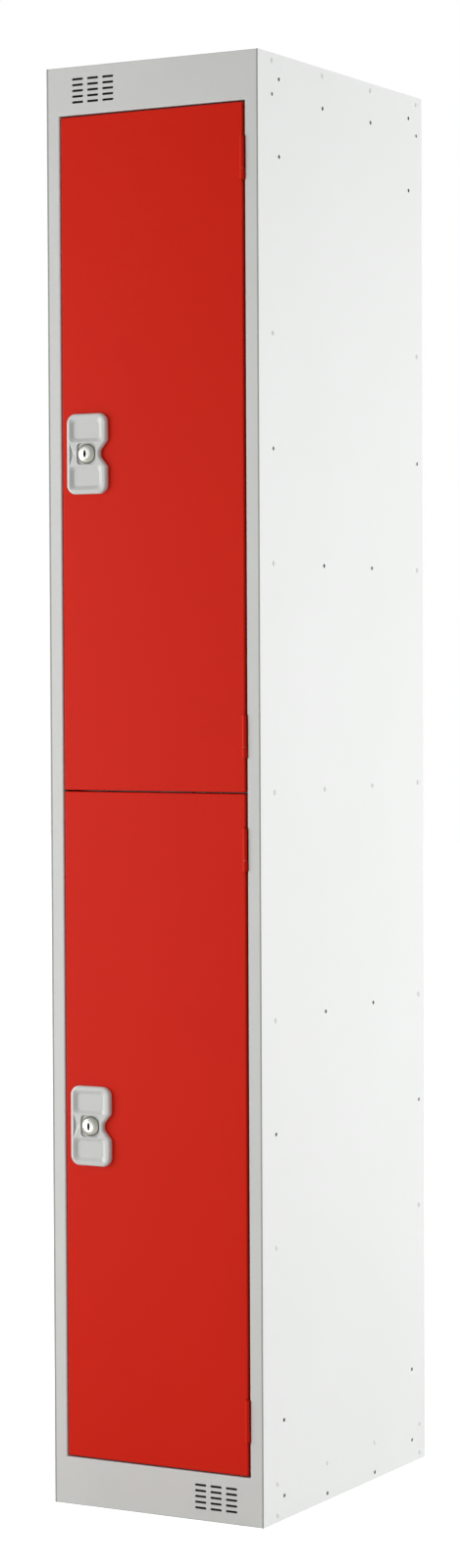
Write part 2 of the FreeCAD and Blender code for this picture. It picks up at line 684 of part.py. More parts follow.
def make_rail(label, outer, edge, outer_return, upward, vent):
    # A rail lies between its outer edge, at the floor or the top, and the edge of the door opening.
    body = new_body(label)
    fold = "sizes.frame_sheet"
    inward = "+" if upward else "-"
    outward = "-" if upward else "+"
    profile = [
        (f"layout.front + {outer_return}", outer),
        ("layout.front", outer),
        ("layout.front", edge),
        ("layout.stop_back", edge),
        ("layout.stop_back", f"{edge} {outward} {fold}"),
        (f"layout.front + {fold}", f"{edge} {outward} {fold}"),
        (f"layout.front + {fold}", f"{outer} {inward} {fold}"),
        (f"layout.front + {outer_return}", f"{outer} {inward} {fold}"),
    ]
    add_pad(body, "YZ_Plane", "-layout.inner_half", "2 * layout.inner_half", [profile])
    add_fillet(body, straight_edges(body, 0, [profile[1], profile[2]]), "sizes.frame_bend")
    add_fillet(body, straight_edges(body, 0, [profile[5], profile[6]]), f"sizes.frame_bend - {fold}")
    lip = box_outline(
        "layout.stop_front",
        "layout.stop_back",
        f"{edge} {outward} {fold}",
        f"{edge} {inward} sizes.stop_lip",
    )
    add_pad(body, "YZ_Plane", "-layout.lip_half", "2 * layout.lip_half", [lip])
    low, high = (outer, edge) if upward else (edge, outer)
    ear = box_outline(
        f"layout.front + {fold} / 2",
        "layout.front + sizes.side_return",
        f"{low} + {fold} / 2",
        f"{high} - {fold} / 2",
    )
    for face in ("-layout.inner_half", f"layout.inner_half - {fold}"):
        add_pad(body, "YZ_Plane", face, fold, [ear])
    holes = with_radius(between(frame_rivets, low, high), "layout.rivet_hole")
    holes += with_radius(between(frame_holes, low, high), hole_radius)
    add_pocket(body, "YZ_Plane", "0", circles=holes)
    cut_vent(body, *vent)
    return body


def make_door(door, base):
    pan = new_body(f"{door}_pan", ("0", "0", base))
    left, right, sheet = "layout.door_left", "layout.door_right", "sizes.door_sheet"
    face = box_outline(left, right, "0", "layout.door_height")
    add_pad(pan, "XZ_Plane", "-layout.front", "sizes.door_depth", [face], reverse=True)
    add_fillet(pan, straight_edges(pan, 1, face), "sizes.door_corner")
    all_over = ((left, right), ("0", "layout.door_height"))
    add_fillet(pan, level_edges(pan, 1, "layout.front", *all_over), "sizes.door_bend")
    hollow = box_outline(f"{left} + {sheet}", f"{right} - {sheet}", sheet, f"layout.door_height - {sheet}")
    depth = f"sizes.door_depth - {sheet}"
    add_pocket(pan, "XZ_Plane", "-layout.door_back", [hollow], depth=depth, reverse=True)
    add_fillet(pan, straight_edges(pan, 1, hollow), f"sizes.door_corner - {sheet}")
    add_fillet(pan, level_edges(pan, 1, f"layout.front + {sheet}", *all_over), f"sizes.door_bend - {sheet}")
    lip = "sizes.door_lip"
    window = box_outline(f"{left} + {lip}", f"{right} - {lip}", lip, f"layout.door_height - {lip}")
    add_pad(pan, "XZ_Plane", "-layout.door_back", sheet, [hollow, window])
    bolt = [("layout.lock_x", "layout.door_height / 2", "sizes.barrel_diameter / 2 + sizes.barrel_clearance")]
    add_pocket(pan, "XZ_Plane", "-layout.front", circles=bolt, depth=f"2 * {sheet}")
    reach = "layout.hinge_x - sizes.knuckle_diameter / 2 - sizes.notch_clearance"
    lifts = ["sizes.hinge_end_offset", "layout.door_height - sizes.hinge_end_offset - sizes.hinge_length"]
    notches = [notch_outline(reach, "layout.opening_half", lift) for lift in lifts]
    add_pocket(pan, "XZ_Plane", "-layout.front", notches, depth="layout.barrel_clear - layout.front")

    stiffener = new_body(f"{door}_stiffener", ("0", "0", base))
    middle, foot, crown = "sizes.stiffener_offset", "sizes.stiffener_foot", "sizes.stiffener_crown / 2"
    skin = f"layout.front + {sheet}"
    top = f"{skin} + sizes.stiffener_height"
    hat = [
        (f"{middle} - {crown} - {foot}", skin),
        (f"{middle} - {crown} + {sheet}", skin),
        (f"{middle} - {crown} + {sheet}", f"{top} - {sheet}"),
        (f"{middle} + {crown} - {sheet}", f"{top} - {sheet}"),
        (f"{middle} + {crown} - {sheet}", skin),
        (f"{middle} + {crown} + {foot}", skin),
        (f"{middle} + {crown} + {foot}", f"{skin} + {sheet}"),
        (f"{middle} + {crown}", f"{skin} + {sheet}"),
        (f"{middle} + {crown}", top),
        (f"{middle} - {crown}", top),
        (f"{middle} - {crown}", f"{skin} + {sheet}"),
        (f"{middle} - {crown} - {foot}", f"{skin} + {sheet}"),
    ]
    start = f"{lip} + sizes.stiffener_end_gap"
    add_pad(stiffener, "XY_Plane", start, f"layout.door_height - 2 * ({start})", [hat])
    add_fillet(stiffener, straight_edges(stiffener, 2, [hat[8], hat[9]]), "sizes.door_bend")
    add_fillet(stiffener, straight_edges(stiffener, 2, [hat[2], hat[3]]), f"sizes.door_bend - {sheet}")


def make_hinge(place, base):
    # The frame leaf carries the short lower knuckle and the pin.
    # The door leaf's long knuckle drops over the pin.
    start = ("0", "0", base)
    barrel, depth = "sizes.knuckle_diameter / 2", "layout.front + sizes.leaf_depth"
    bore = [("layout.hinge_x", "layout.hinge_y", "sizes.hinge_pin_diameter / 2 + sizes.pin_clearance")]
    ring = [("layout.hinge_x", "layout.hinge_y", barrel)]
    lift = "(sizes.lower_knuckle + sizes.knuckle_gap)"

    frame_leaf = new_body(f"{place}_hinge_frame_leaf", start)
    plate = [
        ("layout.hinge_y", "0"),
        (depth, "0"),
        (depth, "sizes.hinge_length"),
        ("layout.barrel_clear", "sizes.hinge_length"),
        ("layout.barrel_clear", "sizes.lower_knuckle"),
        ("layout.hinge_y", "sizes.lower_knuckle"),
    ]
    jamb = "layout.opening_half - sizes.leaf_thickness"
    add_pad(frame_leaf, "YZ_Plane", jamb, "sizes.leaf_thickness", [plate])
    add_pad(frame_leaf, "XY_Plane", "0", "sizes.lower_knuckle", circles=ring)
    add_pocket(frame_leaf, "XY_Plane", "0", circles=bore)

    door_leaf = new_body(f"{place}_hinge_door_leaf", start)
    plate = [
        ("layout.barrel_clear", "0"),
        (depth, "0"),
        (depth, "sizes.hinge_length"),
        ("layout.hinge_y", "sizes.hinge_length"),
        ("layout.hinge_y", lift),
        ("layout.barrel_clear", lift),
    ]
    inside = "layout.door_right - sizes.door_sheet - sizes.leaf_thickness"
    add_pad(door_leaf, "YZ_Plane", inside, "sizes.leaf_thickness", [plate])
    add_pad(door_leaf, "XY_Plane", lift, f"sizes.hinge_length - {lift}", circles=ring)
    add_pocket(door_leaf, "XY_Plane", "0", circles=bore)

    pin = new_body(f"{place}_hinge_pin", start)
    shaft = [("layout.hinge_x", "layout.hinge_y", "sizes.hinge_pin_diameter / 2")]
    add_pad(pin, "XY_Plane", "sizes.pin_end", "sizes.hinge_length - 2 * sizes.pin_end", circles=shaft)


def hexagon(flats):
    corner = f"{flats} / 2 / cos(30 deg)"
    return [(f"{corner} * cos({60 * k} deg)", f"{corner} * sin({60 * k} deg)") for k in range(6)]


def make_lock(door, base):
    # Each lock piece is drawn about the lock axis, from the door's front face, and then placed in the door.
    place = ("layout.lock_x", "layout.front", f"{base} + layout.door_height / 2")
    half_w, half_h = "sizes.plate_width / 2", "sizes.plate_height / 2"
    notch, apex = "sizes.plate_notch_mouth / 2", "sizes.plate_notch_apex / 2"
    waist = f"{half_w} - sizes.plate_notch_depth"
    bore = "sizes.barrel_diameter / 2 + sizes.barrel_clearance"

    plate = new_body(f"{door}_lock_plate", place)
    right_notch = [(half_w, f"-{notch}"), (waist, f"-{apex}"), (waist, apex), (half_w, notch)]
    low_corners = [(f"-{half_w}", f"-{half_h}"), (half_w, f"-{half_h}")]
    high_corners = [(half_w, half_h), (f"-{half_w}", half_h)]
    outline = low_corners + right_notch + high_corners
    add_pad(plate, "XZ_Plane", "0", "sizes.plate_thickness", [outline])
    add_fillet(plate, straight_edges(plate, 1, low_corners + high_corners), "sizes.plate_corner")
    add_fillet(plate, straight_edges(plate, 1, right_notch), "sizes.plate_notch_round")

    # Two pockets with sloping walls, above and below the lock.
    left = f"-({half_w} - sizes.plate_lip)"
    right = f"{half_w} - sizes.pocket_rim"
    end = f"{half_h} - sizes.pocket_end"
    rim, floor = "sizes.plate_thickness", "sizes.plate_thickness - sizes.pocket_depth"
    slope = "sizes.pocket_slope"
    for low, high in (("sizes.pocket_foot", end), (f"-({end})", "-sizes.pocket_foot")):
        mouth = box_outline(left, right, low, high)
        inset = (f"{left} + {slope}", f"{right} - {slope}", f"{low} + {slope}", f"{high} - {slope}")
        foot = box_outline(*inset)
        add_hollow(plate, (rim, mouth), (floor, foot))
        add_fillet(plate, wall_edges(plate, (rim, mouth), (floor, foot)), "sizes.pocket_corner")
        brim = level_edges(plate, 1, f"-{rim}", (left, right), (low, high))
        add_fillet(plate, brim, "sizes.pocket_mouth_round")
        bottom = level_edges(plate, 1, f"-({floor})", inset[:2], inset[2:])
        add_fillet(plate, bottom, "sizes.pocket_floor_round")

    # A three-cornered hollow beside the left rim, opposite the finger notch.
    tall, reach = "sizes.hollow_mouth / 2", "sizes.hollow_reach"
    triangles = []
    for share in ("1", "sizes.hollow_share"):
        point = (f"{left} + {reach} * {share}", "0")
        triangles.append([(left, f"-{tall} * {share}"), point, (left, f"{tall} * {share}")])
    bottom = "sizes.plate_thickness - sizes.hollow_depth"
    add_hollow(plate, (rim, triangles[0]), (bottom, triangles[1]))
    point = wall_edges(plate, (rim, triangles[0][1:2]), (bottom, triangles[1][1:2]))
    add_fillet(plate, point, "sizes.hollow_point_round")

    # The square seat of the lock and its hole.
    half_seat = "sizes.seat_width / 2"
    seat = box_outline(f"-{half_seat}", half_seat, f"-{half_seat}", half_seat)
    add_pocket(plate, "XZ_Plane", "sizes.plate_thickness", [seat], depth="sizes.seat_depth")
    add_fillet(plate, straight_edges(plate, 1, seat), "sizes.seat_corner")
    add_pocket(plate, "XZ_Plane", "0", circles=[("0", "0", bore)])
    add_fillet(plate, brim_edges(plate, rim), "sizes.plate_edge_round")

    barrel = new_body(f"{door}_lock_body", place)
    inner = "sizes.plug_diameter / 2 + sizes.plug_clearance"
    outer, bezel = "sizes.barrel_diameter / 2", "sizes.bezel_diameter / 2"
    end = "layout.cam_front - sizes.barrel_end_gap"
    add_revolution(barrel, [
        (inner, "-layout.bezel_front"),
        ("sizes.bezel_crown / 2", "-layout.bezel_front"),
        (bezel, "-layout.seat_level - sizes.bezel_rim"),
        (bezel, "-layout.seat_level"),
        (outer, "-layout.seat_level"),
        (outer, end),
        (inner, end),
    ])

    nut = new_body(f"{door}_lock_nut", place)
    hole = [("0", "0", bore)]
    back = "-(sizes.door_sheet + sizes.lock_nut_thickness)"
    add_pad(nut, "XZ_Plane", back, "sizes.lock_nut_thickness", [hexagon("sizes.lock_nut_flats")], hole)

    plug = new_body(f"{door}_lock_plug", place)
    shank = "sizes.plug_diameter / 2"
    stud = "sizes.stud_diameter / 2"
    stud_end = "layout.cam_back + sizes.cam_nut_thickness + sizes.stud_proud"
    add_revolution(plug, [
        ("0", "-layout.plug_front"),
        (shank, "-layout.plug_front"),
        (shank, "layout.cam_front"),
        (stud, "layout.cam_front"),
        (stud, stud_end),
        ("0", stud_end),
    ])
    rim = level_edges(plug, 1, "-layout.plug_front", (f"-{shank}", shank), (f"-{shank}", shank))
    add_fillet(plug, rim, "sizes.plug_edge_round")
    flat = "sizes.cam_square / 2"
    square = box_outline(f"-{flat}", flat, f"-{flat}", flat)
    add_pad(plug, "XZ_Plane", "-layout.cam_back", "sizes.cam_thickness", [square])
    slot_x, slot_z = "sizes.key_slot_width / 2", "sizes.key_slot_height / 2"
    slot = box_outline(f"-{slot_x}", slot_x, f"-{slot_z}", slot_z)
    add_pocket(plug, "XZ_Plane", "layout.plug_front", [slot], depth="sizes.key_slot_depth")

    cam = new_body(f"{door}_lock_cam", place)
    width = "sizes.cam_width / 2"
    blade = box_outline(f"-{width}", width, "-layout.cam_reach", width)
    fit = f"{flat} + sizes.cam_fit"
    opening = box_outline(f"-({fit})", fit, f"-({fit})", fit)
    add_pad(cam, "XZ_Plane", "-layout.cam_back", "sizes.cam_thickness", [blade, opening])
    add_fillet(cam, straight_edges(cam, 1, blade), "sizes.cam_corner")

    cam_nut = new_body(f"{door}_lock_cam_nut", place)
    hole = [("0", "0", f"{stud} + sizes.cam_fit")]
    back = "-(layout.cam_back + sizes.cam_nut_thickness)"
    add_pad(cam_nut, "XZ_Plane", back, "sizes.cam_nut_thickness", [hexagon("sizes.cam_nut_flats")], hole)


def primitive(kind, name, lengths, base, turn=None):
    shape = doc.addObject(f"Part::{kind}", name)
    for field, formula in lengths.items():
        shape.setExpression(field, formula)
    if turn is not None:
        shape.Placement = FreeCAD.Placement(Vector(0, 0, 0), turn)
    for axis, formula in zip("xyz", base):
        shape.setExpression(f"Placement.Base.{axis}", formula)
    return shape


def make_coat_hook(label, ceiling):
    wire = "sizes.hook_wire / 2"
    plate_foot = f"{ceiling} - sizes.hook_plate_thickness"
    bend_height = f"{plate_foot} - sizes.hook_stem"
    plate_size = {
        "Length": "sizes.hook_plate_length",
        "Width": "sizes.hook_plate_width",
        "Height": "sizes.hook_plate_thickness",
    }
    corner = ("-sizes.hook_plate_length / 2", "-sizes.hook_plate_width / 2", plate_foot)
    shapes = [primitive("Box", f"{label}_plate", plate_size, corner)]
    stem_size = {"Radius": wire, "Height": "sizes.hook_stem + sizes.hook_plate_thickness / 2"}
    shapes.append(primitive("Cylinder", f"{label}_stem", stem_size, ("0", "0", bend_height)))
    for name, side in (("left", -1), ("right", 1)):
        middle = (f"{side} * sizes.hook_bend", "0", bend_height)
        ring = {"Radius1": "sizes.hook_bend", "Radius2": wire}
        arm = primitive("Torus", f"{label}_{name}_arm", ring, middle, Rotation(Vector(1, 0, 0), -90))
        arm.Angle3 = 180.0
        shapes.append(arm)
        tip = (f"{side} * 2 * sizes.hook_bend", "0", bend_height)
        ball = {"Radius": "sizes.hook_tip_diameter / 2"}
        shapes.append(primitive("Sphere", f"{label}_{name}_tip", ball, tip))
    whole = doc.addObject("Part::MultiFuse", f"{label}_whole")
    whole.Shapes = shapes
    drills = []
    for name, side in (("left", -1), ("right", 1)):
        spot = (f"{side} * sizes.hook_rivet_pitch / 2", "0", plate_foot)
        hole = {"Radius": "layout.rivet_hole", "Height": "sizes.hook_plate_thickness"}
        drills.append(primitive("Cylinder", f"{label}_{name}_hole", hole, spot))
    holes = doc.addObject("Part::MultiFuse", f"{label}_holes")
    holes.Shapes = drills
    hook = doc.addObject("Part::Cut", label)
    hook.Base = whole
    hook.Tool = holes
    hook.Label = label
    doc.recompute()
    pieces.append(hook)


def turned_stud(head, rise, shank, grip, tail, tail_length):
    # Domed head in front of zero, then the shank through what is held, then the wider set end behind it.
    ball = (head ** 2 + rise ** 2) / (2 * rise)
    half_angle = math.asin(head / ball) / 2
    shoulder = Vector(ball * math.sin(half_angle), 0, rise - ball + ball * math.cos(half_angle))
    dome = Part.Arc(Vector(head, 0, 0), shoulder, Vector(0, 0, rise)).toShape()
    corners = [
        Vector(0, 0, rise),
        Vector(0, 0, -grip - tail_length),
        Vector(tail, 0, -grip - tail_length),
        Vector(tail, 0, -grip),
        Vector(shank, 0, -grip),
        Vector(shank, 0, 0),
        Vector(head, 0, 0),
    ]
    sides = [Part.makeLine(corners[k], corners[k + 1]) for k in range(len(corners) - 1)]
    outline = Part.Wire(Part.__sortEdges__([dome] + sides))
    return Part.Face(outline).revolve(Vector(0, 0, 0), Vector(0, 0, 1), 360)


def rivet(held):
    return turned_stud(
        value("sizes.rivet_head_diameter / 2"),
        value("sizes.rivet_head_height"),
        value("sizes.rivet_diameter / 2"),
        value(held),
        value("sizes.rivet_tail_diameter / 2"),
        value("sizes.rivet_tail_length"),
    )


def make_group(label, placed):
    solids = []
    for stud, point, outward in placed:
        copy = stud.copy()
        spot = Vector(*[value(formula) for formula in point])
        copy.Placement = FreeCAD.Placement(spot, Rotation(Vector(0, 0, 1), outward))
        solids.append(copy)
    group = doc.addObject("Part::Feature", label)
    group.Label = label
    group.Shape = Part.makeCompound(solids)
    group.Placement = FreeCAD.Placement()
    pieces.append(group)


def make_side_rivets(label, side):
    through_frame = rivet("sizes.carcass_sheet + sizes.frame_sheet")
    through_sheet = rivet("2 * sizes.carcass_sheet")
    face = f"{side} * layout.half_width"
    outward = Vector(side, 0, 0)
    placed = [(through_frame, (face, y, z), outward) for y, z in frame_rivets]
    placed += [(through_sheet, (face, y, z), outward) for y, z in back_rivets + tray_rivets]
    make_group(label, placed)


def make_hook_rivets(label, top):
    stud = rivet("sizes.carcass_sheet + sizes.hook_plate_thickness")
    spots = [f"{side} * sizes.hook_rivet_pitch / 2" for side in (-1, 1)]
    make_group(label, [(stud, (x, "0", top), Vector(0, 0, 1)) for x in spots])


def make_buffers(label, heights):
    head, stem = value("sizes.buffer_diameter / 2"), value("sizes.buffer_stem_diameter / 2")
    through = value("sizes.frame_sheet")
    tail, tail_length = value("sizes.buffer_tail_diameter / 2"), value("sizes.buffer_tail_length")
    stud = turned_stud(head, value("layout.buffer_height"), stem, through, tail, tail_length)
    spots = [("layout.buffer_x", "layout.stop_front", z) for z in heights]
    make_group(label, [(stud, spot, Vector(0, -1, 0)) for spot in spots])


make_side_panel("left_side_panel", "-layout.half_width")
make_side_panel("right_side_panel", "layout.inner_half")
make_back_panel()
hook_holes = [(f"{side} * sizes.hook_rivet_pitch / 2", "0") for side in (-1, 1)]
make_tray("top_panel", "layout.roof", "layout.front + sizes.frame_bend", False, hook_holes)
make_tray("middle_shelf", "layout.shelf_top", "layout.stop_back", True, hook_holes)
make_tray("base_panel", "sizes.plinth_height", "layout.stop_back", True, [])
header_vent = ("-layout.half_width + sizes.vent_inset", "layout.opening_top + sizes.header_height / 2")
plinth_vent = ("layout.half_width - sizes.vent_inset", "sizes.plinth_height / 2")
make_rail("header_rail", "sizes.locker_height", "layout.opening_top", "sizes.top_return", False, header_vent)
make_rail("plinth_rail", "0", "sizes.plinth_height", "sizes.floor_flange", True, plinth_vent)
hole_buffers(make_upright("left_upright", -1))
notch_frame(make_upright("right_upright", 1))
for door, base in (("upper_door", "layout.upper_base"), ("lower_door", "layout.lower_base")):
    make_door(door, base)
    make_lock(door, base)
for place, base in hinge_bases().items():
    make_hinge(place, base)
make_coat_hook("upper_coat_hook", "layout.roof - sizes.carcass_sheet")
make_coat_hook("lower_coat_hook", "layout.shelf_top - sizes.carcass_sheet")
make_side_rivets("left_side_rivets", -1)
make_side_rivets("right_side_rivets", 1)
make_hook_rivets("upper_hook_rivets", "layout.roof")
make_hook_rivets("lower_hook_rivets", "layout.shelf_top")
for door, heights in buffer_bases().items():
    make_buffers(f"{door}_buffers", heights)

doc.recompute()
for item in doc.Objects:
    if "Invalid" in item.State or "Error" in item.State:
        raise ValueError(f"{item.Name} did not build: {item.State}")
for piece in pieces:
    if piece.Shape.isNull() or not piece.Shape.isValid():
        raise ValueError(f"{piece.Label} has no valid shape")
os.makedirs("parts", exist_ok=True)
for piece in pieces:
    piece.Shape.exportStep(f"parts/{piece.Label}.step")
print(len(pieces), "pieces written")
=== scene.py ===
import math

import bmesh
import bpy
from mathutils import Matrix, Vector


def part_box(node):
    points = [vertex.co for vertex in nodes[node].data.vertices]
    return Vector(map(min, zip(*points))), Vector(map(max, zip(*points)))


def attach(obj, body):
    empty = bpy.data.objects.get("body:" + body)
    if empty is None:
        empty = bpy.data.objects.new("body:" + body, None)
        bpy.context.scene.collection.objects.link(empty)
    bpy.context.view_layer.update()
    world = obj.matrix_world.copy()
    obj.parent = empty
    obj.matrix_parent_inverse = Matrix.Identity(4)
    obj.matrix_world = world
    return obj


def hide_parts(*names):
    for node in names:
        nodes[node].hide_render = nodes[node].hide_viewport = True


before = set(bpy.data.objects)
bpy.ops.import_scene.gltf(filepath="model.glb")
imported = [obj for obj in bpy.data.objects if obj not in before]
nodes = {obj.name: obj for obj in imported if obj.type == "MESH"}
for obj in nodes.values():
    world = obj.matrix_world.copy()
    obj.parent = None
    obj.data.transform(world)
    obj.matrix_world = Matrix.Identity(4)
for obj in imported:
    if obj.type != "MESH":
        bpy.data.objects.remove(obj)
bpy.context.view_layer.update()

scene = bpy.context.scene
mm = 0.001
doors = ("upper", "lower")
print("frame loaded,", len(nodes), "nodes")


# Small helpers for node trees and colours.
def linear(hexColour):
    parts = [int(hexColour[k:k + 2], 16) / 255 for k in (1, 3, 5)]
    return [p / 12.92 if p <= 0.04045 else ((p + 0.055) / 1.055) ** 2.4 for p in parts] + [1.0]


def perMetre(sizeMm):
    return 1 / (sizeMm * mm)  # pattern scale for a feature of this size


def addNode(tree, kind, settings=None, links=None):
    node = tree.nodes.new(kind)
    for name, setting in (settings or {}).items():
        setattr(node, name, setting)
    for socket, source in (links or {}).items():
        if isinstance(source, bpy.types.NodeSocket):
            tree.links.new(source, node.inputs[socket])
        else:
            node.inputs[socket].default_value = source
    return node


def newMaterial(name):
    material = bpy.data.materials.new(name)
    material.use_nodes = True
    material.node_tree.nodes.clear()
    return material, material.node_tree


# Powder coat: polyester powder baked on steel sheet. It gives the eye a satin, slightly pebbled skin,
# even in colour, with broad faint waves where the thin sheet is not quite flat.
def powderCoat(name, look):
    material, tree = newMaterial(name)
    place = addNode(tree, "ShaderNodeTexCoord").outputs["Object"]
    cloud = addNode(tree, "ShaderNodeTexNoise", None, {
        "Vector": place, "Scale": perMetre(look["cloudMm"]), "Detail": 3.0,
    }).outputs["Fac"]
    shade = addNode(tree, "ShaderNodeMix", {"data_type": "RGBA"}, {
        "Factor": cloud, "A": linear(look["deep"]), "B": linear(look["pale"]),
    }).outputs[2]
    grit = addNode(tree, "ShaderNodeTexNoise", None, {
        "Vector": place, "Scale": perMetre(look["peelMm"]), "Detail": 1.0,
    }).outputs["Fac"]
    gloss = addNode(tree, "ShaderNodeMapRange", None, {
        "Value": cloud, "To Min": look["roughness"][0], "To Max": look["roughness"][1],
    }).outputs["Result"]
    wave = addNode(tree, "ShaderNodeTexNoise", None, {
        "Vector": place, "Scale": perMetre(look["waveMm"]), "Detail": 0.0,
    }).outputs["Fac"]
    waved = addNode(tree, "ShaderNodeBump", None, {
        "Height": wave, "Strength": 1.0, "Distance": look["waveDepthMm"] * mm,
    }).outputs["Normal"]
    peeled = addNode(tree, "ShaderNodeBump", None, {
        "Height": grit, "Normal": waved, "Strength": 1.0, "Distance": look["peelDepthMm"] * mm,
    }).outputs["Normal"]
    skin = addNode(tree, "ShaderNodeBsdfPrincipled", None, {
        "Base Color": shade, "Roughness": gloss, "Normal": peeled, "Specular IOR Level": look["specular"],
    })
    addNode(tree, "ShaderNodeOutputMaterial", None, {"Surface": skin.outputs["BSDF"]})
    return material


doorLook = {
    "deep": "#C71C08", "pale": "#CC1F0A", "cloudMm": 160, "roughness": (0.40, 0.46), "specular": 0.08,
    "peelMm": 2.4, "peelDepthMm": 0.012, "waveMm": 320, "waveDepthMm": 0.8,
}
frameLook = {
    "deep": "#C6C7C4", "pale": "#CCCDCA", "cloudMm": 120, "roughness": (0.38, 0.45), "specular": 0.3,
    "peelMm": 2.4, "peelDepthMm": 0.012, "waveMm": 260, "waveDepthMm": 0.3,
}
carcassLook = {
    "deep": "#EAECEA", "pale": "#EFF0EF", "cloudMm": 180, "roughness": (0.40, 0.48), "specular": 0.3,
    "peelMm": 2.4, "peelDepthMm": 0.012, "waveMm": 340, "waveDepthMm": 0.8,
}
redPowderCoat = powderCoat("redPowderCoat", doorLook)
greyPowderCoat = powderCoat("greyPowderCoat", frameLook)
whitePowderCoat = powderCoat("whitePowderCoat", carcassLook)


# Zinc die casting, lacquered silver grey: smooth moulded skin with a very fine sand from the die.
castingLook = {
    "deep": "#BCBDBA", "pale": "#C4C5C2", "sandMm": 0.9, "sandDepthMm": 0.01, "roughness": (0.28, 0.36),
}


def dieCasting(name, look):
    material, tree = newMaterial(name)
    place = addNode(tree, "ShaderNodeTexCoord").outputs["Object"]
    sand = addNode(tree, "ShaderNodeTexNoise", None, {
        "Vector": place, "Scale": perMetre(look["sandMm"]), "Detail": 2.0,
    }).outputs["Fac"]
    shade = addNode(tree, "ShaderNodeMix", {"data_type": "RGBA"}, {
        "Factor": sand, "A": linear(look["deep"]), "B": linear(look["pale"]),
    }).outputs[2]
    gloss = addNode(tree, "ShaderNodeMapRange", None, {
        "Value": sand, "To Min": look["roughness"][0], "To Max": look["roughness"][1],
    }).outputs["Result"]
    grain = addNode(tree, "ShaderNodeBump", None, {
        "Height": sand, "Strength": 1.0, "Distance": look["sandDepthMm"] * mm,
    }).outputs["Normal"]
    skin = addNode(tree, "ShaderNodeBsdfPrincipled", None, {
        "Base Color": shade, "Roughness": gloss, "Normal": grain,
    })
    addNode(tree, "ShaderNodeOutputMaterial", None, {"Surface": skin.outputs["BSDF"]})
    return material


lacqueredZincCasting = dieCasting("lacqueredZincCasting", castingLook)


# Plated metals: chromed brass is near white and mirror-like with hairline polish marks, satin nickel is
# a warm mid grey that blurs what it mirrors, zinc-plated steel is bluer, duller and lightly clouded.
def platedMetal(name, look):
    material, tree = newMaterial(name)
    place = addNode(tree, "ShaderNodeTexCoord").outputs["Object"]
    marks = addNode(tree, "ShaderNodeTexNoise", None, {
        "Vector": place, "Scale": perMetre(look["markMm"]), "Detail": 4.0,
    }).outputs["Fac"]
    shade = addNode(tree, "ShaderNodeMix", {"data_type": "RGBA"}, {
        "Factor": marks, "A": linear(look["deep"]), "B": linear(look["pale"]),
    }).outputs[2]
    gloss = addNode(tree, "ShaderNodeMapRange", None, {
        "Value": marks, "To Min": look["roughness"][0], "To Max": look["roughness"][1],
    }).outputs["Result"]
    skin = addNode(tree, "ShaderNodeBsdfPrincipled", None, {
        "Base Color": shade, "Roughness": gloss, "Metallic": 1.0,
    })
    addNode(tree, "ShaderNodeOutputMaterial", None, {"Surface": skin.outputs["BSDF"]})
    return material


chromeLook = {"deep": "#DEDFDD", "pale": "#F2F2F0", "markMm": 1.6, "roughness": (0.12, 0.22)}
nickelLook = {"deep": "#8E8E86", "pale": "#A9A9A1", "markMm": 1.2, "roughness": (0.26, 0.36)}
zincLook = {"deep": "#A9ADB0", "pale": "#C4C7C6", "markMm": 5.0, "roughness": (0.30, 0.45)}
chromedBrass = platedMetal("chromedBrass", chromeLook)
satinNickel = platedMetal("satinNickel", nickelLook)
zincPlatedSteel = platedMetal("zincPlatedSteel", zincLook)


# Matt finishes. Moulded rubber is near black with a faint bloom. The keyway's walls are near black and warm,
# painted shade inside the slot. The pads behind the vents are black painted shade, and the seam strip's even,
# dull mid grey is painted shade of the groove between frame and side.
rubberLook = {"deep": "#161616", "pale": "#2A2A2A", "markMm": 1.2, "roughness": 0.75, "specular": 0.2}
keywayShadeLook = {"deep": "#0B0B0A", "pale": "#16140F", "markMm": 0.6, "roughness": 0.8, "specular": 0.2}
ventShadeLook = {"deep": "#0C0C0C", "pale": "#1C1C1C", "markMm": 0.5, "roughness": 0.95, "specular": 0.2}
seamShadeLook = {"deep": "#9A9C98", "pale": "#A6A8A4", "markMm": 6.0, "roughness": 0.6, "specular": 0.2}


def mattFinish(name, look):
    material, tree = newMaterial(name)
    place = addNode(tree, "ShaderNodeTexCoord").outputs["Object"]
    bloom = addNode(tree, "ShaderNodeTexNoise", None, {
        "Vector": place, "Scale": perMetre(look["markMm"]),
    }).outputs["Fac"]
    shade = addNode(tree, "ShaderNodeMix", {"data_type": "RGBA"}, {
        "Factor": bloom, "A": linear(look["deep"]), "B": linear(look["pale"]),
    }).outputs[2]
    skin = addNode(tree, "ShaderNodeBsdfPrincipled", None, {
        "Base Color": shade, "Roughness": look["roughness"], "Specular IOR Level": look["specular"],
    })
    addNode(tree, "ShaderNodeOutputMaterial", None, {"Surface": skin.outputs["BSDF"]})
    return material


blackRubber = mattFinish("blackRubber", rubberLook)
keywayPaintedShade = mattFinish("keywayPaintedShade", keywayShadeLook)
ventShadeBlack = mattFinish("ventShadeBlack", ventShadeLook)
seamShadeGrey = mattFinish("seamShadeGrey", seamShadeLook)

slotFinish = {
    "carcass_paint": whitePowderCoat,
    "frame_paint": greyPowderCoat,
    "door_paint": redPowderCoat,
    "lock_plate_casting": lacqueredZincCasting,
    "lock_chrome": chromedBrass,
    "zinc_steel": zincPlatedSteel,
    "buffer_rubber": blackRubber,
}
for node in nodes.values():
    finish = slotFinish[node.material_slots[0].material.name]
    for materialSlot in node.material_slots:
        materialSlot.material = finish
print("finishes set on the frame's nodes")


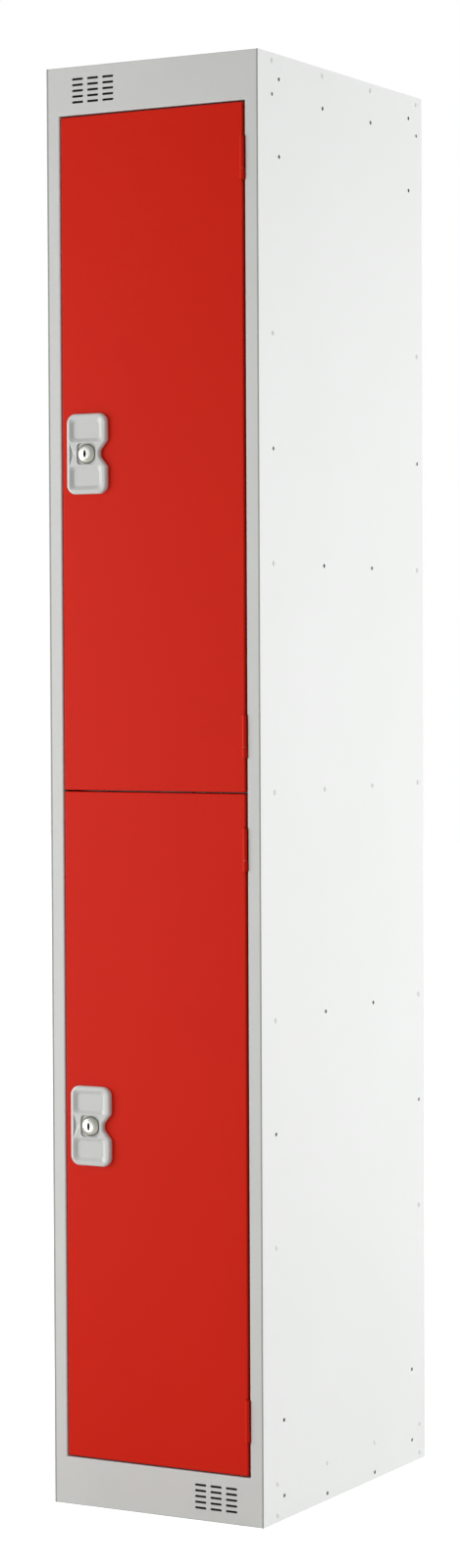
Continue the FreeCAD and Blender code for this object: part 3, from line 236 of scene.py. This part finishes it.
# Helpers for turned and scattered shapes. A turned shape stands on +Z; a tilt then lays it on its own axis.
tiltTo = {
    "front": Matrix.Rotation(math.pi / 2, 4, "X"),
    "right": Matrix.Rotation(math.pi / 2, 4, "Y"),
    "left": Matrix.Rotation(-math.pi / 2, 4, "Y"),
    "back": Matrix.Rotation(-math.pi / 2, 4, "X"),
    "up": Matrix.Identity(4),
}
sharpAngle = math.radians(34)  # edges that turn by more stay crisp


def skinned(shape, rings, closed=False, material=0):
    # faces between rings of points in mm; a ring of one point is a pole
    loops = [[shape.verts.new([c * mm for c in point]) for point in ring] for ring in rings]
    steps = max(len(loop) for loop in loops)
    for low, high in zip(loops, loops[1:] + loops[:1] if closed else loops[1:]):
        for k in range(steps):
            after = (k + 1) % steps
            corners = [low[k % len(low)], low[after % len(low)], high[after % len(high)], high[k % len(high)]]
            shape.faces.new(dict.fromkeys(corners)).material_index = material


def circle(radius, height, steps):
    if radius == 0:
        return [(0, 0, height)]
    angles = [2 * math.pi * k / steps for k in range(steps)]
    return [(radius * math.cos(a), radius * math.sin(a), height) for a in angles]


def turned(shape, profile, steps, closed=False):
    skinned(shape, [circle(radius, height, steps) for radius, height in profile], closed)


def smoothMesh(name, shape, materials, place=None):
    bmesh.ops.recalc_face_normals(shape, faces=shape.faces)
    if place is not None:
        shape.transform(place)
    mesh = bpy.data.meshes.new(name)
    shape.to_mesh(mesh)
    shape.free()
    for material in materials:
        mesh.materials.append(material)
    mesh.shade_smooth()
    mesh.set_sharp_from_angle(angle=sharpAngle)
    return mesh


def addPiece(name, mesh, body, replaced=()):
    piece = bpy.data.objects.new(name, mesh)
    scene.collection.objects.link(piece)
    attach(piece, body)
    if replaced:
        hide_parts(*replaced)


def newTree(name, inputs):
    tree = bpy.data.node_groups.new(name, "GeometryNodeTree")
    for label, kind in inputs.items():
        tree.interface.new_socket(name=label, in_out="INPUT", socket_type=kind)
    tree.interface.new_socket(name="Geometry", in_out="OUTPUT", socket_type="NodeSocketGeometry")
    return tree, addNode(tree, "NodeGroupInput").outputs


def endTree(tree, geometry, material):
    solid = addNode(tree, "GeometryNodeRealizeInstances", None, {"Geometry": geometry}).outputs["Geometry"]
    painted = addNode(tree, "GeometryNodeSetMaterial", None, {"Geometry": solid, "Material": material})
    addNode(tree, "NodeGroupOutput", None, {"Geometry": painted.outputs["Geometry"]})


def grown(name, start, tree, values):
    # runs a tree on a start mesh and gives back the plain mesh
    carrier = bpy.data.objects.new(name, start)
    scene.collection.objects.link(carrier)
    modifier = carrier.modifiers.new(name, "NODES")
    modifier.node_group = tree
    for item in tree.interface.items_tree:
        if item.in_out == "INPUT" and item.name in values:
            modifier[item.identifier] = values[item.name]
    graph = bpy.context.evaluated_depsgraph_get()
    mesh = bpy.data.meshes.new_from_object(carrier.evaluated_get(graph))
    mesh.name = name
    carrier.modifiers.remove(modifier)
    bpy.data.objects.remove(carrier)
    bpy.data.meshes.remove(start)
    return mesh


def scatterTree():
    # sets one shape on each point, each spun by a seeded amount about its own axis
    tree, given = newTree("scatterOnPoints", {
        "Geometry": "NodeSocketGeometry", "shape": "NodeSocketObject", "tilt": "NodeSocketRotation",
        "seed": "NodeSocketInt", "finish": "NodeSocketMaterial",
    })
    shape = addNode(tree, "GeometryNodeObjectInfo", None, {"Object": given["shape"], "As Instance": True})
    spin = addNode(tree, "FunctionNodeRandomValue", {"data_type": "FLOAT"}, {
        "Max": 2 * math.pi, "Seed": given["seed"],
    }).outputs[1]
    turn = addNode(tree, "ShaderNodeCombineXYZ", None, {"Z": spin}).outputs["Vector"]
    turn = addNode(tree, "FunctionNodeEulerToRotation", None, {"Euler": turn}).outputs["Rotation"]
    turn = addNode(tree, "FunctionNodeRotateRotation", {"rotation_space": "LOCAL"}, {
        "Rotation": given["tilt"], "Rotate By": turn,
    }).outputs["Rotation"]
    placed = addNode(tree, "GeometryNodeInstanceOnPoints", None, {
        "Points": given["Geometry"], "Instance": shape.outputs["Geometry"], "Rotation": turn,
    })
    endTree(tree, placed.outputs["Instances"], given["finish"])
    return tree


threadDetail = {"stepsPerTurn": 28, "beadSteps": 6}


def threadTree():
    # a screw thread: a round bead along a spiral about +Z
    tree, given = newTree("screwThread", {
        "Geometry": "NodeSocketGeometry", "turns": "NodeSocketFloat", "radius": "NodeSocketFloat",
        "length": "NodeSocketFloat", "bead": "NodeSocketFloat", "finish": "NodeSocketMaterial",
    })
    spiral = addNode(tree, "GeometryNodeCurveSpiral", None, {
        "Resolution": threadDetail["stepsPerTurn"], "Rotations": given["turns"],
        "Start Radius": given["radius"], "End Radius": given["radius"], "Height": given["length"],
    }).outputs["Curve"]
    upright = addNode(tree, "GeometryNodeSetCurveNormal", {"mode": "Z_UP"}, {"Curve": spiral})
    bead = addNode(tree, "GeometryNodeCurvePrimitiveCircle", None, {
        "Resolution": threadDetail["beadSteps"], "Radius": given["bead"],
    })
    ridge = addNode(tree, "GeometryNodeCurveToMesh", None, {
        "Curve": upright.outputs["Curve"], "Profile Curve": bead.outputs["Curve"], "Fill Caps": True,
    }).outputs["Mesh"]
    endTree(tree, ridge, given["finish"])
    return tree


scatterOnPoints = scatterTree()
screwThread = threadTree()


def scattered(name, profile, steps, spots, axis, material, seed):
    shape = bmesh.new()
    turned(shape, profile, steps)
    pattern = bpy.data.objects.new(name + "Shape", smoothMesh(name + "Shape", shape, [material]))
    scene.collection.objects.link(pattern)
    points = bpy.data.meshes.new(name + "Points")
    points.from_pydata([tuple(spot) for spot in spots], [], [])
    mesh = grown(name, points, scatterOnPoints, {
        "shape": pattern, "tilt": tiltTo[axis].to_euler(), "seed": seed, "finish": material,
    })
    bpy.data.objects.remove(pattern)
    return mesh


def addThread(shape, setup, material):
    # joins a thread to a turned shape that stands on +Z
    length = setup["toMm"] - setup["fromMm"]
    mesh = grown("thread", bpy.data.meshes.new("threadStart"), screwThread, {
        "turns": length / setup["pitchMm"], "radius": setup["radiusMm"] * mm, "length": length * mm,
        "bead": setup["beadMm"] * mm, "finish": material,
    })
    mesh.transform(Matrix.Translation((0, 0, setup["fromMm"] * mm)))
    shape.from_mesh(mesh)
    bpy.data.meshes.remove(mesh)


# Blind rivets of the sides, painted, and of the coat hooks, plated: domed heads with the pit of the broken
# mandrel, and a swelled tail inside. The spots are read from the frame's own rivets.
rivetHead = [
    (0, 0.72), (0.9, 0.72), (1.12, 1.2), (1.5, 1.3), (2.3, 1.16), (3.0, 0.78), (3.4, 0.3), (3.5, 0), (2.0, 0),
]
sideRivet = {
    "steps": 20, "seed": 11,
    "profile": rivetHead + [(2.0, -2.0), (2.6, -2.1), (2.8, -2.6), (2.4, -3.4), (1.2, -3.75), (0, -3.8)],
}
hookRivet = {
    "steps": 20, "seed": 12,
    "profile": rivetHead + [(2.0, -3.3), (2.7, -3.5), (2.8, -4.1), (2.3, -4.8), (1.2, -5.0), (0, -5.1)],
}
# How the frame's rivets are read: points near the outermost level, grouped by nearness, at a head's height.
rivetFinder = {"levelMm": 0.02, "apartMm": 6.0, "headMm": 1.3}


def rivetSpots(name, axis, side):
    # middles of the rivet heads, where they sit on the sheet
    vertices = [v.co for v in nodes[name].data.vertices]
    outermost = max(side * v[axis] for v in vertices)
    groups = []
    for v in vertices:
        if outermost - side * v[axis] > rivetFinder["levelMm"] * mm:
            continue
        near = next((group for group in groups if (group[0] - v).length < rivetFinder["apartMm"] * mm), None)
        if near is None:
            groups.append([v])
        else:
            near.append(v)
    middles = []
    for group in groups:
        low = Vector([min(v[k] for v in group) for k in range(3)])
        high = Vector([max(v[k] for v in group) for k in range(3)])
        middle = (low + high) / 2
        middle[axis] = side * (outermost - rivetFinder["headMm"] * mm)
        middles.append(middle)
    return middles


for side, sign in (("left", -1), ("right", 1)):
    mesh = scattered(
        side + "SideRivets", sideRivet["profile"], sideRivet["steps"],
        rivetSpots(side + "_side_rivets", 0, sign), side, whitePowderCoat, sideRivet["seed"],
    )
    addPiece(side + "SideRivets", mesh, "carcass", [side + "_side_rivets"])
for level in doors:
    mesh = scattered(
        level + "HookRivets", hookRivet["profile"], hookRivet["steps"],
        rivetSpots(level + "_hook_rivets", 2, 1), "up", zincPlatedSteel, hookRivet["seed"],
    )
    addPiece(level + "HookRivets", mesh, "carcass", [level + "_hook_rivets"])
print("rivets set")


# Spot welds that hold each door's stiffener: shallow ringed marks along both feet, under the paint.
spotWeld = {
    "steps": 18, "seed": 13, "pitchMm": 66.0, "endMm": 24.0, "footMm": 14.0, "sheetMm": 1.0,
    "profile": [(0, 0.03), (1.5, 0.05), (2.1, 0.2), (2.6, 0.24), (3.0, 0.1), (3.2, -0.05), (0, -0.06)],
}


def weldSpots(stiffener, setup):
    low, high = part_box(stiffener)
    foot = setup["footMm"] * mm / 2
    end = setup["endMm"] * mm
    count = round((high[2] - low[2] - 2 * end) / (setup["pitchMm"] * mm)) + 1
    step = (high[2] - low[2] - 2 * end) / (count - 1)
    back = low[1] + setup["sheetMm"] * mm
    return [(x, back, low[2] + end + k * step) for x in (low[0] + foot, high[0] - foot) for k in range(count)]


for level in doors:
    mesh = scattered(
        level + "DoorWelds", spotWeld["profile"], spotWeld["steps"],
        weldSpots(level + "_door_stiffener", spotWeld), "back", redPowderCoat, spotWeld["seed"],
    )
    addPiece(level + "DoorWelds", mesh, level + "_door")
print("spot welds set")


# Ground welds where the uprights meet the header and the plinth: they fill the seam flush, under the paint.
cornerWeld = {"widthMm": 17.7, "bendMm": 1.6, "bendSteps": 6, "proudMm": 0.02, "overlapMm": 0.3}


def weldRing(near, far, front, level, setup):
    # outline of an upright's front face, rounded at both edges; near is the edge with the smaller x
    bend, steps = setup["bendMm"], setup["bendSteps"]
    angles = [math.pi / 2 * k / steps for k in range(steps + 1)]
    arcs = [(near + bend * (1 - math.cos(a)), front + bend * (1 - math.sin(a)), level) for a in angles]
    return arcs + [(near + far - x, y, level) for x, y, _ in reversed(arcs)]


def makeCornerWelds(setup):
    outer, face, openingFoot = [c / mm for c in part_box("left_upright")[0]]
    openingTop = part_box("left_upright")[1][2] / mm
    front, inner = face - setup["proudMm"], outer + setup["widthMm"]
    reach, bend = setup["overlapMm"], setup["bendMm"]
    seams = (
        (openingTop - reach, openingTop + bend + reach),
        (openingFoot - bend - reach, openingFoot + reach),
    )
    shape = bmesh.new()
    for near, far in ((outer, inner), (-inner, -outer)):
        middle = ((near + far) / 2, front + bend / 2)
        for low, high in seams:
            rings = [weldRing(near, far, front, level, setup) for level in (low, high)]
            skinned(shape, [[(*middle, low)], rings[0], rings[1], [(*middle, high)]])
    mesh = smoothMesh("cornerWelds", shape, [greyPowderCoat])
    addPiece("cornerWelds", mesh, "carcass")


makeCornerWelds(cornerWeld)
print("corner welds set")


# Seam shade strip: a thin grey bead over the seam between the front frame and each side, from floor to top.
# Its grey is painted shade of the groove in that seam.
edgeSealer = {"widthMm": 2.5, "insetMm": 0.06, "proudMm": 0.08, "depthMm": 0.5, "steps": 6}


def makeSeamShadeStrip(setup):
    left, front, foot = [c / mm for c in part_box("left_side_panel")[0]]
    right, _, top = [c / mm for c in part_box("right_side_panel")[1]]
    width, inset, steps = setup["widthMm"], setup["insetMm"], setup["steps"]
    back = front + setup["depthMm"]
    low, high = foot + inset, top - inset
    shape = bmesh.new()
    for edge, inward in ((left, 1), (right, -1)):
        across = [edge + inward * (inset + width * k / steps) for k in range(steps + 1)]
        crown = [front - setup["proudMm"] * math.sin(math.pi * k / steps) for k in range(steps + 1)]
        outline = [*zip(across, crown), (across[-1], back), (across[0], back)]
        middle = (sum(x for x, _ in outline) / len(outline), (front + back) / 2)
        rings = [[(x, y, level) for x, y in outline] for level in (low, high)]
        skinned(shape, [[(*middle, low)], rings[0], rings[1], [(*middle, high)]])
    mesh = smoothMesh("edgeSealer", shape, [seamShadeGrey])
    addPiece("edgeSealer", mesh, "carcass")


makeSeamShadeStrip(edgeSealer)

# Painted shade behind the vents: a black pad behind each vent, on the back of the rail's sheet, so that every
# slot looks dark.
ventFelt = {
    "widthMm": 74.0, "heightMm": 42.0, "thickMm": 1.6, "cornerMm": 5.0, "steps": 6,
    "easeMm": 0.4, "easeShare": 0.98,  # the back edge draws in a little
    "sheetMm": 1.2, "insetMm": 67.0,
}


def ventPlaces(setup):
    # rail, across and up of each vent's middle
    leftEdge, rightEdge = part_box("left_side_panel")[0][0] / mm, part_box("right_side_panel")[1][0] / mm
    top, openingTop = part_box("header_rail")[1][2] / mm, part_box("left_upright")[1][2] / mm
    foot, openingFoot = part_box("plinth_rail")[0][2] / mm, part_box("left_upright")[0][2] / mm
    return (
        ("header_rail", leftEdge + setup["insetMm"], (top + openingTop) / 2),
        ("plinth_rail", rightEdge - setup["insetMm"], (foot + openingFoot) / 2),
    )


def makeVentShadePads(setup):
    halfWidth, halfHeight, corner = setup["widthMm"] / 2, setup["heightMm"] / 2, setup["cornerMm"]
    outline = []
    for k in range(4 * (setup["steps"] + 1)):
        quarter, step = divmod(k, setup["steps"] + 1)
        angle = math.pi / 2 * (quarter + step / setup["steps"])
        across = (halfWidth - corner) * (1 if quarter in (0, 3) else -1) + corner * math.cos(angle)
        up = (halfHeight - corner) * (1 if quarter < 2 else -1) + corner * math.sin(angle)
        outline.append((across, up))
    shape = bmesh.new()
    for rail, middleX, middleZ in ventPlaces(setup):
        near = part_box(rail)[0][1] / mm + setup["sheetMm"]
        far = near + setup["thickMm"]
        rings = [
            [(middleX + x * share, y, middleZ + z * share) for x, z in outline]
            for y, share in ((near, 1), (far - setup["easeMm"], 1), (far, setup["easeShare"]))
        ]
        skinned(shape, [[(middleX, near, middleZ)], *rings, [(middleX, far, middleZ)]])
    mesh = smoothMesh("ventFelt", shape, [ventShadeBlack])
    addPiece("ventFelt", mesh, "carcass")


makeVentShadePads(ventFelt)
print("seam shade strip and vent shade pads set")


# Cam locks. Heights are in mm in front of the door's face. The body is a satin bezel on a threaded barrel.
lockBody = {
    "steps": 64,
    "profile": [
        (7.06, 8.15), (7.3, 8.4), (7.6, 8.5), (8.3, 8.5), (9.2, 8.22), (10.3, 7.45), (11.3, 6.4),
        (12.0, 5.35), (12.3, 4.7), (12.3, 3.55), (12.1, 3.3), (9.5, 3.3), (9.5, -1.4), (9.0, -1.9),
        (9.0, -24.3), (8.6, -24.8), (7.06, -24.8),
    ],
    "thread": {"fromMm": -24.2, "toMm": -2.0, "pitchMm": 1.5, "radiusMm": 9.02, "beadMm": 0.42},
}
# The plug turns in the body: a polished face with a keyway, a square for the cam, and a threaded stud.
lockPlug = {
    "steps": 96, "faceMm": 9.2, "radiusMm": 7.0, "edgeMm": 0.5, "edgeShare": 0.3,
    "keywayFootMm": -8.0, "keywayEdgeMm": 0.15, "joinMm": 0.001,
    "keyway": {"halfWidth": 1.8, "halfHeight": 4.7, "slope": (0.958, 0.287), "slopeReach": 2.069},
    "squareMm": 8.0, "squareFromMm": -27.7, "squareToMm": -25.2,
    "stud": [(7.0, -25.0), (6.8, -25.2), (2.6, -25.2), (2.6, -33.6), (2.1, -34.2), (0, -34.2)],
    "thread": {"fromMm": -33.6, "toMm": -25.4, "pitchMm": 1.0, "radiusMm": 2.62, "beadMm": 0.34},
}
# Chamfered hexagon nuts: one clamps the body behind the door, one holds the cam. Both have the same edges.
bodyNut = {"steps": 72, "flatsMm": 27.0, "boreMm": 9.6, "fromMm": -6.0, "toMm": -1.0}
camNut = {"steps": 72, "flatsMm": 10.0, "boreMm": 3.05, "fromMm": -32.7, "toMm": -27.7}
nutEdges = {"crownShare": 0.97, "easeShare": 0.04, "chamfer": math.tan(math.radians(30))}


def lockPlace(level):
    low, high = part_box(level + "_door_lock_plug")
    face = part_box(level + "_door_pan")[0][1]
    return Matrix.Translation(((low[0] + high[0]) / 2, face, (low[2] + high[2]) / 2)) @ tiltTo["front"]


def makeLockBody(level):
    shape = bmesh.new()
    turned(shape, lockBody["profile"], lockBody["steps"], closed=True)
    addThread(shape, lockBody["thread"], satinNickel)
    mesh = smoothMesh(level + "LockBody", shape, [satinNickel], lockPlace(level))
    addPiece(level + "LockBody", mesh, level + "_door", [level + "_door_lock_body"])


def keywayRing(margin, height):
    # the keyway's outline: an upright slot, wider at its middle
    cut = lockPlug["keyway"]
    least = 1e-6  # keeps the divisions finite
    ring = []
    for k in range(lockPlug["steps"]):
        angle = 2 * math.pi * k / lockPlug["steps"]
        across, up = max(abs(math.cos(angle)), least), max(abs(math.sin(angle)), least)
        reach = min(
            cut["halfWidth"] / across, cut["halfHeight"] / up,
            cut["slopeReach"] / (cut["slope"][0] * across + cut["slope"][1] * up),
        ) + margin
        ring.append((reach * math.cos(angle), reach * math.sin(angle), height))
    return ring


def makeLockPlug(level):
    face, radius, edge = lockPlug["faceMm"], lockPlug["radiusMm"], lockPlug["edgeMm"]
    steps, foot, lip = lockPlug["steps"], lockPlug["keywayFootMm"], lockPlug["keywayEdgeMm"]
    ease = edge * lockPlug["edgeShare"]
    shape = bmesh.new()
    # the keyway's walls take the near-black finish: painted shade inside the slot
    skinned(shape, [[(0, 0, foot)], keywayRing(0, foot), keywayRing(0, face - lip)], material=1)
    front = [
        keywayRing(0, face - lip), keywayRing(lip, face), circle(radius - edge, face, steps),
        circle(radius - ease, face - ease, steps), circle(radius, face - edge, steps),
    ]
    skinned(shape, front + [circle(r, h, steps) for r, h in lockPlug["stud"]])
    bmesh.ops.remove_doubles(shape, verts=shape.verts, dist=lockPlug["joinMm"] * mm)
    half, low, high = lockPlug["squareMm"] / 2, lockPlug["squareFromMm"], lockPlug["squareToMm"]
    square = ((-half, -half), (half, -half), (half, half), (-half, half))
    ends = [[(x, y, z) for x, y in square] for z in (low, high)]
    skinned(shape, [[(0, 0, low)], ends[0], ends[1], [(0, 0, high)]])
    addThread(shape, lockPlug["thread"], chromedBrass)
    mesh = smoothMesh(level + "LockPlug", shape, [chromedBrass, keywayPaintedShade], lockPlace(level))
    addPiece(level + "LockPlug", mesh, level + "_lock", [level + "_door_lock_plug"])


def makeNut(name, setup, body, place, replaced):
    steps, apothem, bore = setup["steps"], setup["flatsMm"] / 2, setup["boreMm"]
    low, high = setup["fromMm"], setup["toMm"]
    crown, ease = apothem * nutEdges["crownShare"], apothem * nutEdges["easeShare"]
    sides = []
    for height, turn in ((low, 1), (high, -1)):
        ring = []
        for k in range(steps):
            angle = 2 * math.pi * k / steps
            reach = apothem / math.cos(angle % (math.pi / 3) - math.pi / 6)
            drop = (reach - crown) * nutEdges["chamfer"] * turn
            ring.append((reach * math.cos(angle), reach * math.sin(angle), height + drop))
        sides.append(ring)
    shape = bmesh.new()
    skinned(shape, [
        circle(bore, low + ease, steps), circle(bore + ease, low, steps), circle(crown, low, steps),
        *sides,
        circle(crown, high, steps), circle(bore + ease, high, steps), circle(bore, high - ease, steps),
    ], closed=True)
    mesh = smoothMesh(name, shape, [zincPlatedSteel], place)
    addPiece(name, mesh, body, [replaced])


for level in doors:
    makeLockBody(level)
    makeLockPlug(level)
    place = lockPlace(level)
    makeNut(level + "LockNut", bodyNut, level + "_door", place, level + "_door_lock_nut")
    makeNut(level + "CamNut", camNut, level + "_lock", place, level + "_door_lock_cam_nut")
print("locks set")


# Camera at the photograph's place, fitted to the carcass corners, the front and the marks of the side.
photoCamera = {
    "place": (2.21127, -4.00959, 1.05358),
    "yaw": -0.5074, "pitch": -0.0329, "roll": -0.0045,
    "lensMm": 81.49, "sensorMm": 36.0,
}


def addCamera(setup):
    data = bpy.data.cameras.new("photoCamera")
    data.lens = setup["lensMm"]
    data.sensor_width = setup["sensorMm"]
    camera = bpy.data.objects.new("photoCamera", data)
    scene.collection.objects.link(camera)
    turn = Matrix.Rotation(-setup["yaw"], 4, "Z")
    tilt = Matrix.Rotation(math.pi / 2 + setup["pitch"], 4, "X")
    lean = Matrix.Rotation(setup["roll"], 4, "Z")
    camera.matrix_world = Matrix.Translation(setup["place"]) @ turn @ tilt @ lean
    scene.camera = camera


addCamera(photoCamera)

# Soft studio light: one box well to the left of the front, and one of the same size to the right of the back.
softBoxes = [
    {"name": "leftSoftBox", "place": (-2.62, -1.9, 0.95), "sizeM": 2.0, "watts": 82.0},
    {"name": "rightSoftBox", "place": (2.8, 2.35, 1.05), "sizeM": 2.0, "watts": 56.0},
]
aimPoint = Vector((0.0, 0.0, 0.9))


def addSoftBox(setup):
    data = bpy.data.lights.new(setup["name"], "AREA")
    data.size = setup["sizeM"]
    data.energy = setup["watts"]
    lamp = bpy.data.objects.new(setup["name"], data)
    scene.collection.objects.link(lamp)
    spot = Vector(setup["place"])
    facing = (aimPoint - spot).to_track_quat("-Z", "Y").to_matrix().to_4x4()
    lamp.matrix_world = Matrix.Translation(spot) @ facing


for setup in softBoxes:
    addSoftBox(setup)

# Bright backdrop. It lights the object less than it shows, and not evenly.
sky = {
    "backdrop": 1.0, "fill": 0.57,
    "zones": [  # more light from above, less from the left lamp's side and from behind the camera
        {"toward": (0.0, 0.0, 1.0), "reach": (0.4, 0.9), "fill": 1.0},
        {"toward": (-1.0, 0.0, 0.0), "reach": (0.2, 0.85), "fill": 0.04},
        {"toward": (0.48, -0.87, 0.0), "reach": (0.6, 0.9), "fill": 0.22},
    ],
}


def seenDirectly(tree):
    # 1 where the camera, a mirror or glass looks at the surface, 0 where it lights the object
    path = addNode(tree, "ShaderNodeLightPath").outputs
    first = addNode(tree, "ShaderNodeMath", {"operation": "MAXIMUM"}, {
        0: path["Is Camera Ray"], 1: path["Is Glossy Ray"],
    }).outputs[0]
    return addNode(tree, "ShaderNodeMath", {"operation": "MAXIMUM"}, {
        0: first, 1: path["Is Transmission Ray"],
    }).outputs[0]


def addSky(setup):
    world = bpy.data.worlds.new("studio")
    world.use_nodes = True
    tree = world.node_tree
    tree.nodes.clear()
    outward = addNode(tree, "ShaderNodeTexCoord").outputs["Generated"]
    fill = setup["fill"]
    for zone in setup["zones"]:
        toward = addNode(tree, "ShaderNodeVectorMath", {"operation": "DOT_PRODUCT"}, {
            0: outward, 1: zone["toward"],
        }).outputs["Value"]
        fill = addNode(tree, "ShaderNodeMapRange", None, {
            "Value": toward, "From Min": zone["reach"][0], "From Max": zone["reach"][1],
            "To Min": fill, "To Max": zone["fill"],
        }).outputs["Result"]
    strength = addNode(tree, "ShaderNodeMapRange", None, {
        "Value": seenDirectly(tree), "To Min": fill, "To Max": setup["backdrop"],
    }).outputs["Result"]
    backdrop = addNode(tree, "ShaderNodeBackground", None, {"Color": (1, 1, 1, 1), "Strength": strength})
    addNode(tree, "ShaderNodeOutputWorld", None, {"Surface": backdrop.outputs["Background"]})
    scene.world = world


addSky(sky)

# Pale matt floor, lit from within where it is looked at, so that it runs into the backdrop.
studioFloor = {
    "sizeM": 30.0, "paint": "#E6E6E6", "glow": 0.66,
    "footprintM": (0.149, 0.224),  # the floor under the locker stays dark
}


def addFloor(setup):
    material, tree = newMaterial("studioFloor")
    paint = addNode(tree, "ShaderNodeBsdfDiffuse", None, {"Color": linear(setup["paint"])})
    place = addNode(tree, "ShaderNodeTexCoord").outputs["Object"]
    spot = addNode(tree, "ShaderNodeSeparateXYZ", None, {"Vector": place}).outputs
    outside = []
    for k, edge in enumerate(setup["footprintM"]):
        reach = addNode(tree, "ShaderNodeMath", {"operation": "ABSOLUTE"}, {0: spot[k]}).outputs[0]
        past = addNode(tree, "ShaderNodeMath", {"operation": "GREATER_THAN"}, {0: reach, 1: edge})
        outside.append(past.outputs[0])
    clear = addNode(tree, "ShaderNodeMath", {"operation": "MAXIMUM"}, {
        0: outside[0], 1: outside[1],
    }).outputs[0]
    strength = addNode(tree, "ShaderNodeMath", {"operation": "MULTIPLY"}, {
        0: seenDirectly(tree), 1: setup["glow"],
    }).outputs[0]
    strength = addNode(tree, "ShaderNodeMath", {"operation": "MULTIPLY"}, {0: strength, 1: clear}).outputs[0]
    glow = addNode(tree, "ShaderNodeEmission", None, {"Color": (1, 1, 1, 1), "Strength": strength})
    both = addNode(tree, "ShaderNodeAddShader", None, {0: paint.outputs["BSDF"], 1: glow.outputs["Emission"]})
    addNode(tree, "ShaderNodeOutputMaterial", None, {"Surface": both.outputs["Shader"]})
    half = setup["sizeM"] / 2
    corners = [(-half, -half, 0), (half, -half, 0), (half, half, 0), (-half, half, 0)]
    mesh = bpy.data.meshes.new("studioFloor")
    mesh.from_pydata(corners, [], [range(len(corners))])
    mesh.materials.append(material)
    floor = bpy.data.objects.new("studioFloor", mesh)
    scene.collection.objects.link(floor)


addFloor(studioFloor)
scene.view_settings.view_transform = "Standard"
print("camera, lamps and floor set")
